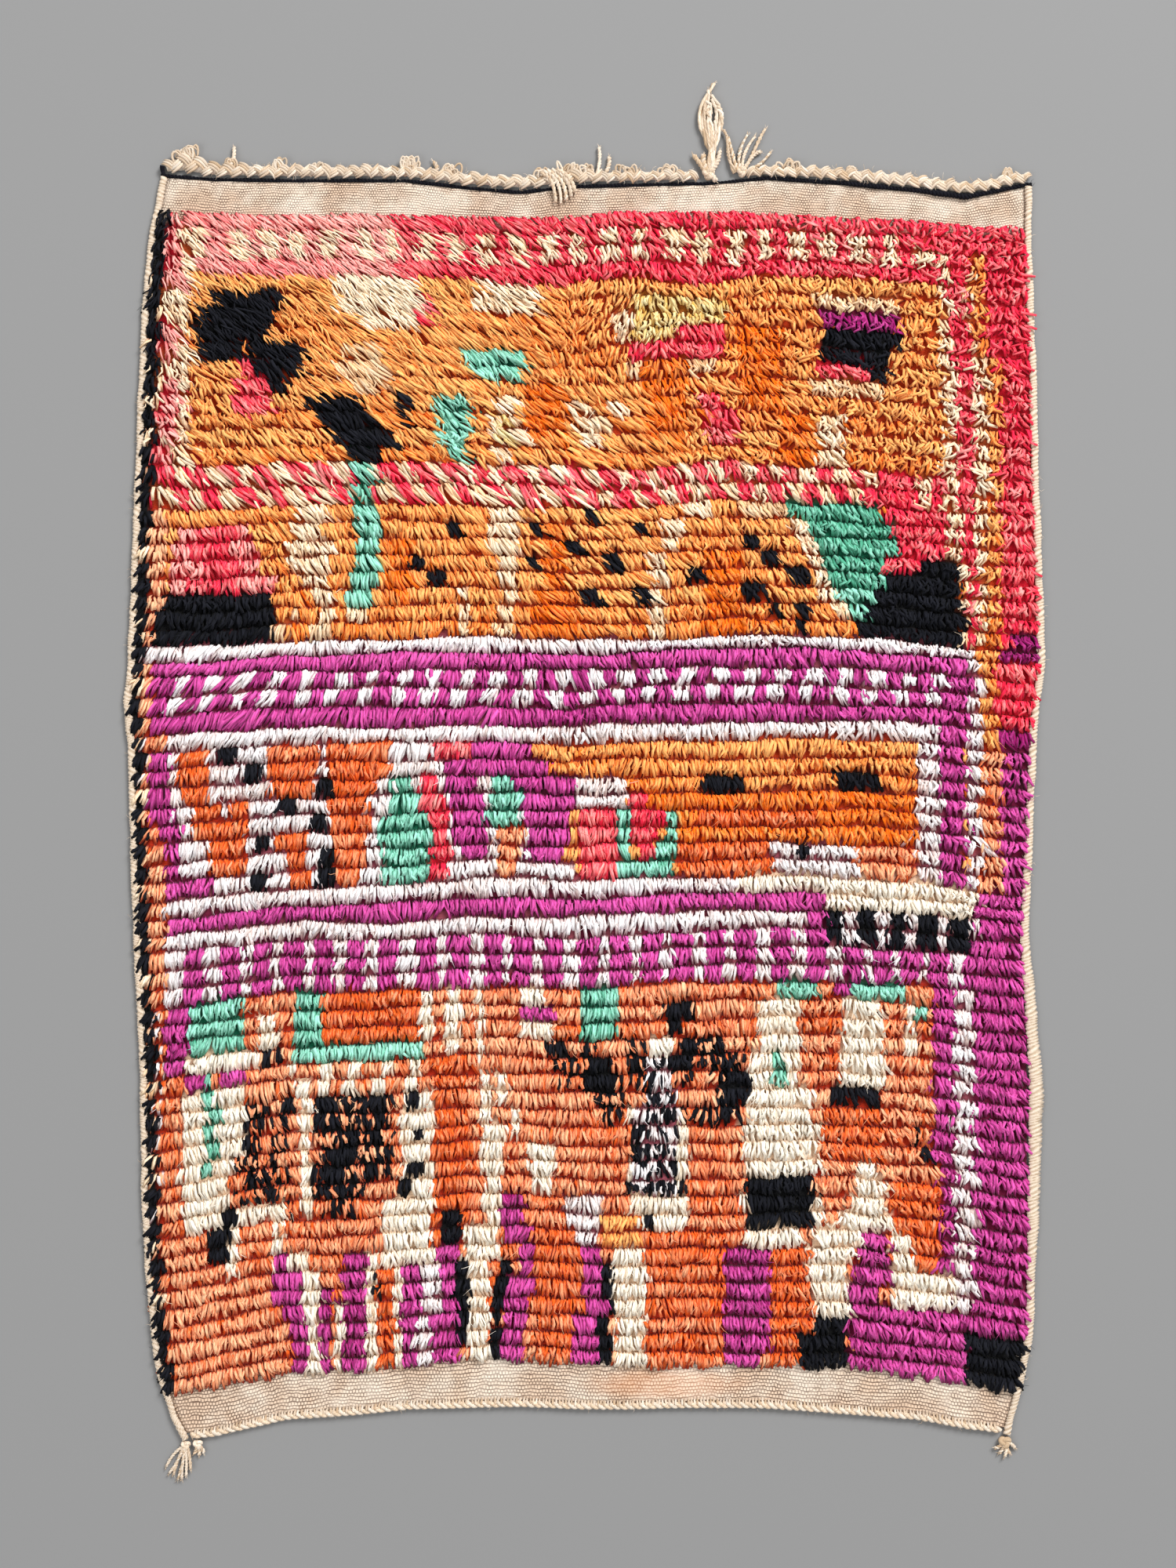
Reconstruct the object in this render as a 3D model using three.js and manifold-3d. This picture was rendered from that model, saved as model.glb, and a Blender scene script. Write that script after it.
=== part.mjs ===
// A hand-knotted wool rug lying flat: a shaggy pile field between two flatwoven ends, corded sides,
// a twined black line and a plaited finish with tassels along one end, and a corded edge along the other.
// Units are millimetres. +X runs across the rug, +Y towards the plaited end, +Z up from the floor.
import * as THREE from "three";
import Module from "manifold-3d";
import { mergeVertices } from "three/addons/utils/BufferGeometryUtils.js";

const wasm = await Module();
wasm.setup();

// Driving dimensions: thicknesses
const GROUND_THICKNESS = 4;
const PILE_CREST = 19;
const PILE_TROUGH = 12.5;
const RIM_CREST = 11.5;
const RIM_TROUGH = 5.5;
const PLAIT_THICKNESS = 15;
const BINDING_THICKNESS = 10;
const FOOT_CORD_THICKNESS = 9;
const LINE_THICKNESS = 5;
const YARN_THICKNESS = 5;

// Driving dimensions: widths, pitches and counts
const GAP = 0.3;
const LINE_WIDTH = 6;
const FOOT_CORD_WIDTH = 13;
const PILE_ROWS = 67;
const CREST_SHARE = 0.62;
const RIM_BAND = 15;
const RIM_NOTCH = 2.2;
const CREST_UNEVENNESS = 2.2;
const TROUGH_UNEVENNESS = 1.4;
const PLAIT_LOBE = 11;
const FOOT_CORD_LOBE = 15;
const LINE_LOBE = 26;
const YARN_WIDTH = 3.4;

// The rug's outer edge on each side, with the width of the cord that binds it, at places along the rug.
const SIDES = [
  { y: 1030, left: -706, right: 752, leftCord: 12, rightCord: 13 },
  { y: 924, left: -729, right: 750, leftCord: 13, rightCord: 13 },
  { y: 807, left: -741, right: 754, leftCord: 13, rightCord: 14 },
  { y: 683, left: -747, right: 759, leftCord: 14, rightCord: 14 },
  { y: 504, left: -754, right: 763, leftCord: 13, rightCord: 15 },
  { y: 353, left: -760, right: 769, leftCord: 14, rightCord: 15 },
  { y: 196, left: -766, right: 774, leftCord: 14, rightCord: 16 },
  { y: 136, left: -774, right: 765, leftCord: 16, rightCord: 15 },
  { y: 67, left: -766, right: 759, leftCord: 14, rightCord: 15 },
  { y: -134, left: -761, right: 751, leftCord: 13, rightCord: 15 },
  { y: -251, left: -757, right: 746, leftCord: 13, rightCord: 18 },
  { y: -453, left: -747, right: 766, leftCord: 14, rightCord: 28 },
  { y: -520, left: -745, right: 771, leftCord: 13, rightCord: 31 },
  { y: -688, left: -743, right: 765, leftCord: 13, rightCord: 26 },
  { y: -811, left: -737, right: 758, leftCord: 12, rightCord: 18 },
  { y: -928, left: -726, right: 753, leftCord: 12, rightCord: 15 },
  { y: -995, left: -717, right: 740, leftCord: 12, rightCord: 14 },
  { y: -1062, left: -694, right: 722, leftCord: 12, rightCord: 13 },
  { y: -1120, left: -664, right: 709, leftCord: 12, rightCord: 13 },
];

// Where the cloth changes along its length, at places across the rug: the twined line,
// the pile's first and last edge, and the outer edge of the foot.
const ENDS = [
  { x: -740, line: 1019, pileTop: 961, pileFoot: -1045, foot: -1108 },
  { x: -620, line: 1010, pileTop: 953, pileFoot: -1017, foot: -1098 },
  { x: -500, line: 1008, pileTop: 952, pileFoot: -994, foot: -1070 },
  { x: -380, line: 1008, pileTop: 954, pileFoot: -990, foot: -1062 },
  { x: -300, line: 1008, pileTop: 953, pileFoot: -984, foot: -1053 },
  { x: -188, line: 995, pileTop: 949, pileFoot: -973, foot: -1050 },
  { x: -108, line: 988, pileTop: 947, pileFoot: -974, foot: -1048 },
  { x: -20, line: 998, pileTop: 949, pileFoot: -980, foot: -1052 },
  { x: 60, line: 1000, pileTop: 955, pileFoot: -982, foot: -1053 },
  { x: 130, line: 1002, pileTop: 957, pileFoot: -982, foot: -1051 },
  { x: 204, line: 1003, pileTop: 959, pileFoot: -983, foot: -1050 },
  { x: 307, line: 1012, pileTop: 955, pileFoot: -984, foot: -1051 },
  { x: 430, line: 1004, pileTop: 948, pileFoot: -988, foot: -1060 },
  { x: 558, line: 991, pileTop: 941, pileFoot: -1002, foot: -1070 },
  { x: 640, line: 980, pileTop: 933, pileFoot: -1015, foot: -1085 },
  { x: 742, line: 1001, pileTop: 930, pileFoot: -1031, foot: -1098 },
];

// Width of the plait across the rug. It swells to a knob near the left corner.
const PLAIT_WIDTHS = [
  { x: -706, width: 18 },
  { x: -668, width: 44 },
  { x: -625, width: 27 },
  { x: -480, width: 25 },
  { x: -250, width: 24 },
  { x: -100, width: 28 },
  { x: 60, width: 24 },
  { x: 198, width: 22 },
  { x: 274, width: 20 },
  { x: 420, width: 25 },
  { x: 600, width: 26 },
  { x: 752, width: 20 },
];
const LEFT_PLAIT = { from: -702, to: 196 };
const RIGHT_PLAIT = { from: 275, to: 750 };

// Short locks of yarn that stick out of the plait, each from its root on the plait to its tip.
const PLAIT_LOCKS = [
  { x: -592, tipX: -587, length: 22 },
  { x: -513, tipX: -519, length: 12 },
  { x: -247, tipX: -252, length: 12 },
  { x: 22, tipX: 25, length: 34 },
  { x: 36, tipX: 42, length: 24 },
];

// The tall tassel that ends the left plait: tips of its yarns, measured from the middle of its head.
const TALL_TASSEL_HEAD = { radius: 12, height: 13 };
const TALL_TASSEL = [
  { tipX: -24, tipY: 84, bend: -3 },
  { tipX: -19, tipY: 112, bend: -5 },
  { tipX: -13, tipY: 141, bend: -6 },
  { tipX: -8.5, tipY: 146, bend: -6 },
  { tipX: -4, tipY: 140, bend: -4 },
  { tipX: 1, tipY: 120, bend: -2 },
  { tipX: 6.5, tipY: 128, bend: 1 },
  { tipX: 12.5, tipY: 101, bend: 3 },
  { tipX: 18, tipY: 96, bend: 4 },
  { tipX: 23, tipY: 70, bend: 5 },
];

// The fanned tassel that ends the right plait.
const FAN_TASSEL_HEAD = { radius: 11, height: 12 };
const FAN_TASSEL = [
  { tipX: -27, tipY: 66, bend: -4 },
  { tipX: -20, tipY: 44, bend: -2 },
  { tipX: -5, tipY: 50, bend: 2 },
  { tipX: 8, tipY: 62, bend: 4 },
  { tipX: 22, tipY: 58, bend: 5 },
  { tipX: 39, tipY: 73, bend: 3 },
  { tipX: 31, tipY: 41, bend: 0 },
];

// The tassel at the left corner of the foot, spreading away from the rug.
const CORNER_TASSEL_HEAD = { radius: 9, height: 11 };
const CORNER_TASSEL = [
  { tipX: 7, tipY: -40, bend: -1 },
  { tipX: 0, tipY: -52, bend: -1 },
  { tipX: -7, tipY: -57, bend: 0 },
  { tipX: -14, tipY: -58, bend: 0 },
  { tipX: -21, tipY: -50, bend: 1 },
  { tipX: -28, tipY: -47, bend: 2 },
  { tipX: -33, tipY: -36, bend: 2 },
];

// Small frayed knots on the foot.
const LEFT_KNOT_HEAD = { radius: 9, height: 11 };
const LEFT_KNOT = [
  { tipX: -6, tipY: -16, bend: 0 },
  { tipX: 2, tipY: -19, bend: 0 },
  { tipX: 10, tipY: -15, bend: 0 },
];
const RIGHT_KNOT_X = 705;
const RIGHT_KNOT_HEAD = { radius: 12, height: 12 };
const RIGHT_KNOT = [
  { tipX: -17, tipY: -10, bend: 1 },
  { tipX: -9, tipY: -19, bend: 1 },
  { tipX: 0, tipY: -24, bend: 0 },
  { tipX: 9, tipY: -20, bend: -1 },
  { tipX: 17, tipY: -10, bend: -1 },
];

// A bundle of yarn ends folded down from the plait over the flatweave.
const BUNDLE = { x: -38, height: 6.5, rootWidth: 34, rootDepth: 12 };
const BUNDLE_ENDS = [
  { tipX: -23, reach: 27 },
  { tipX: -14, reach: 36 },
  { tipX: -4, reach: 33 },
  { tipX: 7, reach: 38 },
  { tipX: 17, reach: 30 },
];

// A repeatable unevenness from -1 to 1 for a pair of counting numbers.
function uneven(a, b) {
  const wave = Math.sin(a * 12.9898 + b * 78.233) * 43758.5453;
  return 2 * (wave - Math.floor(wave)) - 1;
}

// A column of a table at a place between its rows.
function reading(table, key, column, place) {
  const rising = table[0][key] < table[table.length - 1][key];
  const rows = rising ? table : [...table].reverse();
  let i = 0;
  while (i < rows.length - 2 && rows[i + 1][key] < place) i += 1;
  const [a, b] = [rows[i], rows[i + 1]];
  const share = THREE.MathUtils.clamp((place - a[key]) / (b[key] - a[key]), 0, 1);
  return THREE.MathUtils.lerp(a[column], b[column], share);
}

const side = (column, y) => reading(SIDES, "y", column, y);
const end = (column, x) => reading(ENDS, "x", column, x);
const plaitWidth = (x) => reading(PLAIT_WIDTHS, "x", "width", x);
const plaitFoot = (x) => end("line", x) + LINE_WIDTH / 2 + GAP;
const innerLeft = (y) => side("left", y) + side("leftCord", y) + GAP;
const innerRight = (y) => side("right", y) - side("rightCord", y) - GAP;

// A closed slab on the floor under a grid of points, listed in rows from its far side to its near
// side, each row from left to right. Its underside is flat and its walls are upright.
function slab(rows) {
  const along = rows.length - 1;
  const across = rows[0].length - 1;
  const top = new THREE.PlaneGeometry(1, 1, across, along);
  const points = rows.flat();
  const at = (row, column) => row * (across + 1) + column;
  const rim = [];
  for (let j = 0; j < along; j++) rim.push(at(j, 0));
  for (let i = 0; i < across; i++) rim.push(at(along, i));
  for (let j = along; j > 0; j--) rim.push(at(j, across));
  for (let i = across; i > 0; i--) rim.push(at(0, i));
  const floor = rim.map((p) => new THREE.Vector3(points[p].x, points[p].y, 0));
  const under = new Map(rim.map((p, i) => [p, points.length + i]));
  const foot = (row, column) => under.get(at(row, column));
  const faces = [...top.index.array];
  rim.forEach((p, i) => {
    const next = rim[(i + 1) % rim.length];
    faces.push(under.get(p), under.get(next), next);
    faces.push(under.get(p), next, p);
  });
  for (let i = 0; i < across; i++) {
    faces.push(foot(1, 0), foot(0, i), foot(0, i + 1));
    faces.push(foot(along - 1, across), foot(along, i + 1), foot(along, i));
  }
  faces.push(foot(1, 0), foot(0, across), foot(1, across));
  faces.push(foot(along - 1, 0), foot(along - 1, across), foot(along, 0));
  for (let j = 1; j < along - 1; j++) {
    faces.push(foot(j + 1, 0), foot(j, 0), foot(j, across));
    faces.push(foot(j + 1, 0), foot(j, across), foot(j + 1, across));
  }
  const made = new THREE.BufferGeometry().setFromPoints([...points, ...floor]);
  made.setIndex(faces);
  return made;
}

// A cord or plait that lies on the floor: one row of points across it at each station.
// A station has its middle x and y, its direction, its width and its heights across.
function laidCord(stations) {
  return slab(
    stations.map(({ x, y, heading, width, heights }) =>
      heights.map((height, i) => {
        const offset = (i / (heights.length - 1) - 0.5) * width;
        const left = heading + Math.PI / 2;
        return new THREE.Vector3(x + offset * Math.cos(left), y + offset * Math.sin(left), height);
      }),
    ),
  );
}

// One yarn on the floor, from its root to its tip, bowed sideways by bend.
function yarn(root, tip, width, bend) {
  const control = root.clone().lerp(tip, 0.5);
  control.x += bend;
  const curve = new THREE.QuadraticBezierCurve(root, control, tip);
  const shares = [0, 0.35, 0.7, 1];
  return laidCord(
    shares.map((share) => {
      const at = curve.getPoint(share);
      const ahead = curve.getTangent(share);
      const taper = share < 1 ? 1 : 0.45;
      const height = YARN_THICKNESS * taper;
      const heading = Math.atan2(ahead.y, ahead.x);
      return { x: at.x, y: at.y, heading, width: width * taper, heights: [height, height] };
    }),
  );
}

// A geometry as a manifold-3d solid, and back.
function solid(geometry) {
  const bare = geometry.index ? geometry.toNonIndexed() : geometry.clone();
  bare.deleteAttribute("normal");
  bare.deleteAttribute("uv");
  const merged = mergeVertices(bare, 1e-4);
  const triVerts = new Uint32Array(merged.index.array);
  const vertProperties = merged.attributes.position.array;
  return new wasm.Manifold(new wasm.Mesh({ numProp: 3, vertProperties, triVerts }));
}

function geometryOf(made) {
  const { vertProperties, triVerts } = made.getMesh();
  const geometry = new THREE.BufferGeometry();
  geometry.setAttribute("position", new THREE.BufferAttribute(vertProperties, 3));
  geometry.setIndex(new THREE.BufferAttribute(triVerts, 1));
  return geometry;
}

const joined = (geometries) =>
  geometryOf(geometries.map(solid).reduce((whole, piece) => whole.add(piece)));

// A low round knot on the floor.
function knot(x, y, { radius, height }) {
  const profile = [
    new THREE.Vector2(0, 0),
    new THREE.Vector2(radius, 0),
    new THREE.Vector2(radius, height * 0.45),
    new THREE.Vector2(radius * 0.72, height * 0.86),
    new THREE.Vector2(0, height),
  ];
  const made = new THREE.LatheGeometry(profile, 12);
  made.rotateX(Math.PI / 2);
  made.translate(x, y, 0);
  return made;
}

// A tassel: yarns whose roots are fused in a knot, spread out level on the floor.
function tassel(x, y, head, yarns) {
  const strands = yarns.map(({ tipX, tipY, bend }) => {
    const tip = new THREE.Vector2(x + tipX, y + tipY);
    const reach = Math.hypot(tipX, tipY);
    const root = new THREE.Vector2(x + (tipX / reach) * head.radius * 0.4, y);
    root.y += (tipY / reach) * head.radius * 0.4;
    return yarn(root, tip, YARN_WIDTH, bend);
  });
  return joined([knot(x, y, head), ...strands]);
}

// The middle height on the floor of a knot that just clears the twined line above it, or the foot below.
function above(x, radius) {
  const edges = [-0.5, 0.5].map((share) => plaitFoot(x + share * radius));
  return Math.max(...edges) + radius;
}

function below(x, radius) {
  const edges = [-0.5, 0, 0.5].map((share) => end("foot", x + share * radius));
  return Math.min(...edges) - GAP - radius;
}

// The rug itself: flatwoven ends and the lumpy slab of pile, with locks at its rim.
// Its inner columns of points stand at the places that the table of ends gives.
const innerColumns = ENDS.slice(1, -1).map(({ x }) => x);
const lastColumn = innerColumns.length + 3;
const atRim = (column) => column === 0 || column === lastColumn;

function columnX(column, y, notch) {
  const [left, right] = [innerLeft(y) + notch, innerRight(y) - notch];
  if (column === 0) return left;
  if (column === 1) return left + RIM_BAND;
  if (column === lastColumn - 1) return right - RIM_BAND;
  if (column === lastColumn) return right;
  return innerColumns[column - 2];
}

function bodyRow(edge, heightAt, notch = 0) {
  const row = [];
  for (let column = 0; column <= lastColumn; column++) {
    const x = columnX(column, edge(columnX(column, edge(0), notch)), notch);
    row.push(new THREE.Vector3(x, edge(x), heightAt(column)));
  }
  return row;
}

function rugRows() {
  const flat = () => GROUND_THICKNESS;
  const pileEdge = (share) => (x) =>
    THREE.MathUtils.lerp(end("pileTop", x), end("pileFoot", x), share);
  const rows = [
    bodyRow((x) => end("line", x) - LINE_WIDTH / 2 - GAP, flat),
    bodyRow((x) => end("pileTop", x), flat),
  ];
  for (let row = 0; row < PILE_ROWS; row++) {
    const crest = (column) =>
      (atRim(column) ? RIM_CREST : PILE_CREST) + CREST_UNEVENNESS * uneven(row, column);
    rows.push(bodyRow(pileEdge((row + CREST_SHARE) / PILE_ROWS), crest));
    if (row < PILE_ROWS - 1) {
      const trough = (column) =>
        (atRim(column) ? RIM_TROUGH : PILE_TROUGH) + TROUGH_UNEVENNESS * uneven(column, row);
      rows.push(bodyRow(pileEdge((row + 1) / PILE_ROWS), trough, RIM_NOTCH));
    }
  }
  rows.push(bodyRow((x) => end("pileFoot", x), flat));
  rows.push(bodyRow((x) => end("foot", x) + FOOT_CORD_WIDTH + GAP, flat));
  return rows;
}

const bodyRows = rugRows();

// The cord that binds one side, its overcasting raised in long low lumps, one for each pile row.
function binding(column, cordColumn, rim, inward) {
  const middle = (y) => side(column, y) + (inward * side(cordColumn, y)) / 2;
  const topEdges = [0, 1].map((share) => side(column, 1000) + share * inward * side(cordColumn, 1000));
  const top = Math.min(...topEdges.map((x) => end("line", x))) - LINE_WIDTH / 2 - GAP;
  const foot = end("foot", middle(end("foot", middle(0))));
  const crests = bodyRows.filter((row, i) => i < 2 || i % 2 === 0 || i > bodyRows.length - 3);
  const levels = crests.map((row) => row[rim].y).filter((y) => y < top && y > foot);
  return laidCord(
    [top, ...levels, foot].map((y, step) => {
      const crest = BINDING_THICKNESS * (0.94 + 0.06 * uneven(step, inward));
      const shoulder = crest * (step % 2 ? 0.5 : 0.62);
      const heights = [shoulder, crest, crest, shoulder];
      return { x: middle(y), y, heading: -Math.PI / 2, width: side(cordColumn, y), heights };
    }),
  );
}

// Places across the rug from right to left, at about a pitch, with every column of the table of ends.
function placesAcross(from, to, pitch) {
  const marks = [from, ...ENDS.map(({ x }) => x).filter((x) => x > from && x < to), to];
  const places = [from];
  for (let i = 1; i < marks.length; i++) {
    const steps = Math.max(1, Math.round((marks[i] - marks[i - 1]) / pitch));
    for (let step = 1; step <= steps; step++) {
      places.push(THREE.MathUtils.lerp(marks[i - 1], marks[i], step / steps));
    }
  }
  return places.reverse();
}

// A cord across the rug whose strands rise in turn, on one side of its middle and then the other.
function crossCord({ from, to, lobe, lower, width, thickness, risen, sunk }) {
  return laidCord(
    placesAcross(from, to, lobe).map((x, step) => {
      const lump = thickness * (1 + 0.05 * uneven(step, lobe));
      const shares = step % 2 ? risen : sunk;
      const heights = shares.map((share) => share * lump);
      return { x, y: lower(x) + width(x) / 2, heading: Math.PI, width: width(x), heights };
    }),
  );
}

function plait({ from, to }, locks) {
  const strip = crossCord({
    from,
    to,
    lobe: PLAIT_LOBE,
    lower: plaitFoot,
    width: plaitWidth,
    thickness: PLAIT_THICKNESS,
    risen: [0.42, 0.95, 0.86, 0.64, 0.42],
    sunk: [0.42, 0.64, 0.86, 0.95, 0.42],
  });
  const sticking = locks
    .filter(({ x }) => x > from && x < to)
    .map(({ x, tipX, length }) => {
      const topEdge = plaitFoot(x) + plaitWidth(x);
      const root = new THREE.Vector2(x, topEdge - plaitWidth(x) / 3);
      return yarn(root, new THREE.Vector2(tipX, topEdge + length), YARN_WIDTH * 1.4, 0);
    });
  return joined([strip, ...sticking]);
}

// The twined line lies flat between the flatweave and the plait.
function twinedLine() {
  return crossCord({
    from: side("left", 1010),
    to: side("right", 1000),
    lobe: LINE_LOBE,
    lower: (x) => end("line", x) - LINE_WIDTH / 2,
    width: () => LINE_WIDTH,
    thickness: LINE_THICKNESS * 0.95,
    risen: [1, 0.7],
    sunk: [0.7, 1],
  });
}

// The foot cord is a rope of two strands between the two side bindings.
function footCord() {
  return crossCord({
    from: innerLeft(end("foot", innerLeft(-1100))) + GAP,
    to: innerRight(end("foot", innerRight(-1100))) - GAP,
    lobe: FOOT_CORD_LOBE,
    lower: (x) => end("foot", x),
    width: () => FOOT_CORD_WIDTH,
    thickness: FOOT_CORD_THICKNESS,
    risen: [0.5, 1, 0.7, 0.5],
    sunk: [0.5, 0.7, 1, 0.5],
  });
}

// The folded bundle lies on the flatweave and the twined line, beside the plait.
function foldedBundle() {
  const edges = [-0.5, 0.5].map((share) => plaitFoot(BUNDLE.x + share * BUNDLE.rootWidth));
  const rootTop = Math.min(...edges) - GAP;
  const lift = LINE_THICKNESS + GAP;
  const root = new THREE.BoxGeometry(BUNDLE.rootWidth, BUNDLE.rootDepth, BUNDLE.height);
  root.translate(BUNDLE.x, rootTop - BUNDLE.rootDepth / 2, BUNDLE.height / 2);
  const ends = BUNDLE_ENDS.map(({ tipX, reach }) => {
    const start = new THREE.Vector2(BUNDLE.x + tipX * 0.6, rootTop - BUNDLE.rootDepth * 0.6);
    const tip = new THREE.Vector2(BUNDLE.x + tipX, rootTop - reach);
    return yarn(start, tip, YARN_WIDTH * 1.5, 0);
  });
  const made = joined([root, ...ends]);
  made.translate(0, 0, lift);
  return made;
}

// Materials: wool and cotton yarns, all matt
const yarnColours = {
  pileWool: 0xee9550,
  creamYarn: 0xeadccb,
  blackYarn: 0x1d1c22,
};
const material = Object.fromEntries(
  Object.entries(yarnColours).map(([name, color]) => [
    name,
    new THREE.MeshStandardMaterial({ color, roughness: 0.95, metalness: 0 }),
  ]),
);

const rug = new THREE.Group();

function add(name, geometry, finish) {
  const mesh = new THREE.Mesh(geometry, finish);
  mesh.name = name;
  rug.add(mesh);
}

add("rug_body", slab(bodyRows), material.pileWool);
add("left_binding", binding("left", "leftCord", 0, 1), material.creamYarn);
add("right_binding", binding("right", "rightCord", lastColumn, -1), material.creamYarn);
add("twined_line", twinedLine(), material.blackYarn);
add("left_plait", plait(LEFT_PLAIT, PLAIT_LOCKS), material.creamYarn);
add("right_plait", plait(RIGHT_PLAIT, PLAIT_LOCKS), material.creamYarn);
add("foot_cord", footCord(), material.creamYarn);
add("folded_bundle", foldedBundle(), material.creamYarn);

const tallX = LEFT_PLAIT.to + GAP + TALL_TASSEL_HEAD.radius;
const tallY = above(tallX, TALL_TASSEL_HEAD.radius);
add("tall_tassel", tassel(tallX, tallY, TALL_TASSEL_HEAD, TALL_TASSEL), material.creamYarn);

const fanX = RIGHT_PLAIT.from - GAP - FAN_TASSEL_HEAD.radius;
const fanY = above(fanX, FAN_TASSEL_HEAD.radius);
add("fan_tassel", tassel(fanX, fanY, FAN_TASSEL_HEAD, FAN_TASSEL), material.creamYarn);

const cornerX = side("left", end("foot", -665)) + side("leftCord", -1100) / 2;
const cornerY = below(cornerX, CORNER_TASSEL_HEAD.radius);
add("corner_tassel", tassel(cornerX, cornerY, CORNER_TASSEL_HEAD, CORNER_TASSEL), material.creamYarn);

const leftKnotX = cornerX + CORNER_TASSEL_HEAD.radius + LEFT_KNOT_HEAD.radius + 2;
const leftKnotY = below(leftKnotX, LEFT_KNOT_HEAD.radius);
add("left_knot", tassel(leftKnotX, leftKnotY, LEFT_KNOT_HEAD, LEFT_KNOT), material.creamYarn);

const rightKnotY = below(RIGHT_KNOT_X, RIGHT_KNOT_HEAD.radius);
add("right_knot", tassel(RIGHT_KNOT_X, rightKnotY, RIGHT_KNOT_HEAD, RIGHT_KNOT), material.creamYarn);

// The origin is on the floor under the middle of the rug's box.
const extent = new THREE.Box3().setFromObject(rug);
const centre = extent.getCenter(new THREE.Vector3());
rug.position.set(-centre.x, -centre.y, 0);
const part = new THREE.Group();
part.add(rug);

export default part;
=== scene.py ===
# %% [markdown]
# # A Boujaad rug, knot by knot
# A Boujaad rug is woven on an upright loom. Rows of wool knots are tied on the warps, a few wefts
# are beaten down over them, and each end is finished as a strip of plain flatweave. Here the rug is
# made in the same order: the flat ground, the rows of pile, then the cords, plaits and tassels.
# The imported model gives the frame, and every new piece is laid where its plain solid lies.

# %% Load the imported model
import functools
import math

import bmesh
import bpy
import numpy as np
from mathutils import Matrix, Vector


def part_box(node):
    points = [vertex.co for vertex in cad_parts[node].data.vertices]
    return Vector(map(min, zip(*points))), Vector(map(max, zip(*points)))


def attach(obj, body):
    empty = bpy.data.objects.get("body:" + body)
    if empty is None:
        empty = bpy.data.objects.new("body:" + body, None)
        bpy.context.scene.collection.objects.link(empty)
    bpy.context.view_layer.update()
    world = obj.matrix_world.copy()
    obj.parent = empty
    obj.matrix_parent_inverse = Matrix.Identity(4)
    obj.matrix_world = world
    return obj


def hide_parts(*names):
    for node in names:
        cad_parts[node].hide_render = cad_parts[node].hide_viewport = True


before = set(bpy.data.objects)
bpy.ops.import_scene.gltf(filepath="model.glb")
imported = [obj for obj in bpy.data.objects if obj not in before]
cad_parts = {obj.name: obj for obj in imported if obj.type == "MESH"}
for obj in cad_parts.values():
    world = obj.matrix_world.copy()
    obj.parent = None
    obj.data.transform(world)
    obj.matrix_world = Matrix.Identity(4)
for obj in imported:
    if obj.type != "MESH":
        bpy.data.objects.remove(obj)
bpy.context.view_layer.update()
MM = 0.001
SEED = 1905
print("nodes:", sorted(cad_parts))

# %% [markdown]
# The rug was laid out in millimetres from its own middle, with x to the right and y to the top end.
# Real weaving is never square, so its edges are short tables of measured stations, and the places
# between two stations are read off in a straight line. One shift takes that drawing to the frame.

# %% Edges of the rug, in millimetres
# height up the rug, left edge, right edge, width of the left cord, width of the right cord
SIDES = np.array([
    (1030, -706, 752, 12, 13), (924, -729, 750, 13, 13), (807, -741, 754, 13, 14),
    (683, -747, 759, 14, 14), (504, -754, 763, 13, 15), (353, -760, 769, 14, 15),
    (196, -766, 774, 14, 16), (136, -774, 765, 16, 15), (67, -766, 759, 14, 15),
    (-134, -761, 751, 13, 15), (-251, -757, 746, 13, 18), (-453, -747, 766, 14, 28),
    (-520, -745, 771, 13, 31), (-688, -743, 765, 13, 26), (-811, -737, 758, 12, 18),
    (-928, -726, 753, 12, 15), (-995, -717, 740, 12, 14), (-1062, -694, 722, 12, 13),
    (-1120, -664, 709, 12, 13),
])
# place across the rug, black line, upper end of the pile, lower end of the pile, foot edge
ENDS = np.array([
    (-740, 1019, 961, -1045, -1108), (-620, 1010, 953, -1017, -1098), (-500, 1008, 952, -994, -1070),
    (-380, 1008, 954, -990, -1062), (-300, 1008, 953, -984, -1053), (-188, 995, 949, -973, -1050),
    (-108, 988, 947, -974, -1048), (-20, 998, 949, -980, -1052), (60, 1000, 955, -982, -1053),
    (130, 1002, 957, -982, -1051), (204, 1003, 959, -983, -1050), (307, 1012, 955, -984, -1051),
    (430, 1004, 948, -988, -1060), (558, 991, 941, -1002, -1070), (640, 980, 933, -1015, -1085),
    (742, 1001, 930, -1031, -1098),
])
LEFT_EDGE, RIGHT_EDGE, LEFT_CORD, RIGHT_CORD = range(1, 5)
LINE_WIDTH = 6
FOOT_CORD_WIDTH = 13
GAP = 0.3
LEFT_PLAIT_START = -702
LINE_START = -709.2


# %% Read a place off the edges
def side(column, y):
    """A column of SIDES at the height y up the rug."""
    return np.interp(-np.asarray(y, float), -SIDES[:, 0], SIDES[:, column])


def end(column, x):
    """A column of ENDS at the place x across the rug."""
    return np.interp(x, ENDS[:, 0], ENDS[:, column])


# the four lines that cross the rug, each a height at the place x
line, pile_top, pile_foot, foot = (functools.partial(end, column) for column in range(1, 5))


def inner_left(y):
    """Inner side of the left cord."""
    return side(LEFT_EDGE, y) + side(LEFT_CORD, y) + GAP


def inner_right(y):
    """Inner side of the right cord."""
    return side(RIGHT_EDGE, y) - side(RIGHT_CORD, y) - GAP


def plait_foot(x):
    """Lower side of the plait, just over the black line."""
    return line(x) + LINE_WIDTH / 2 + GAP


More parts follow.
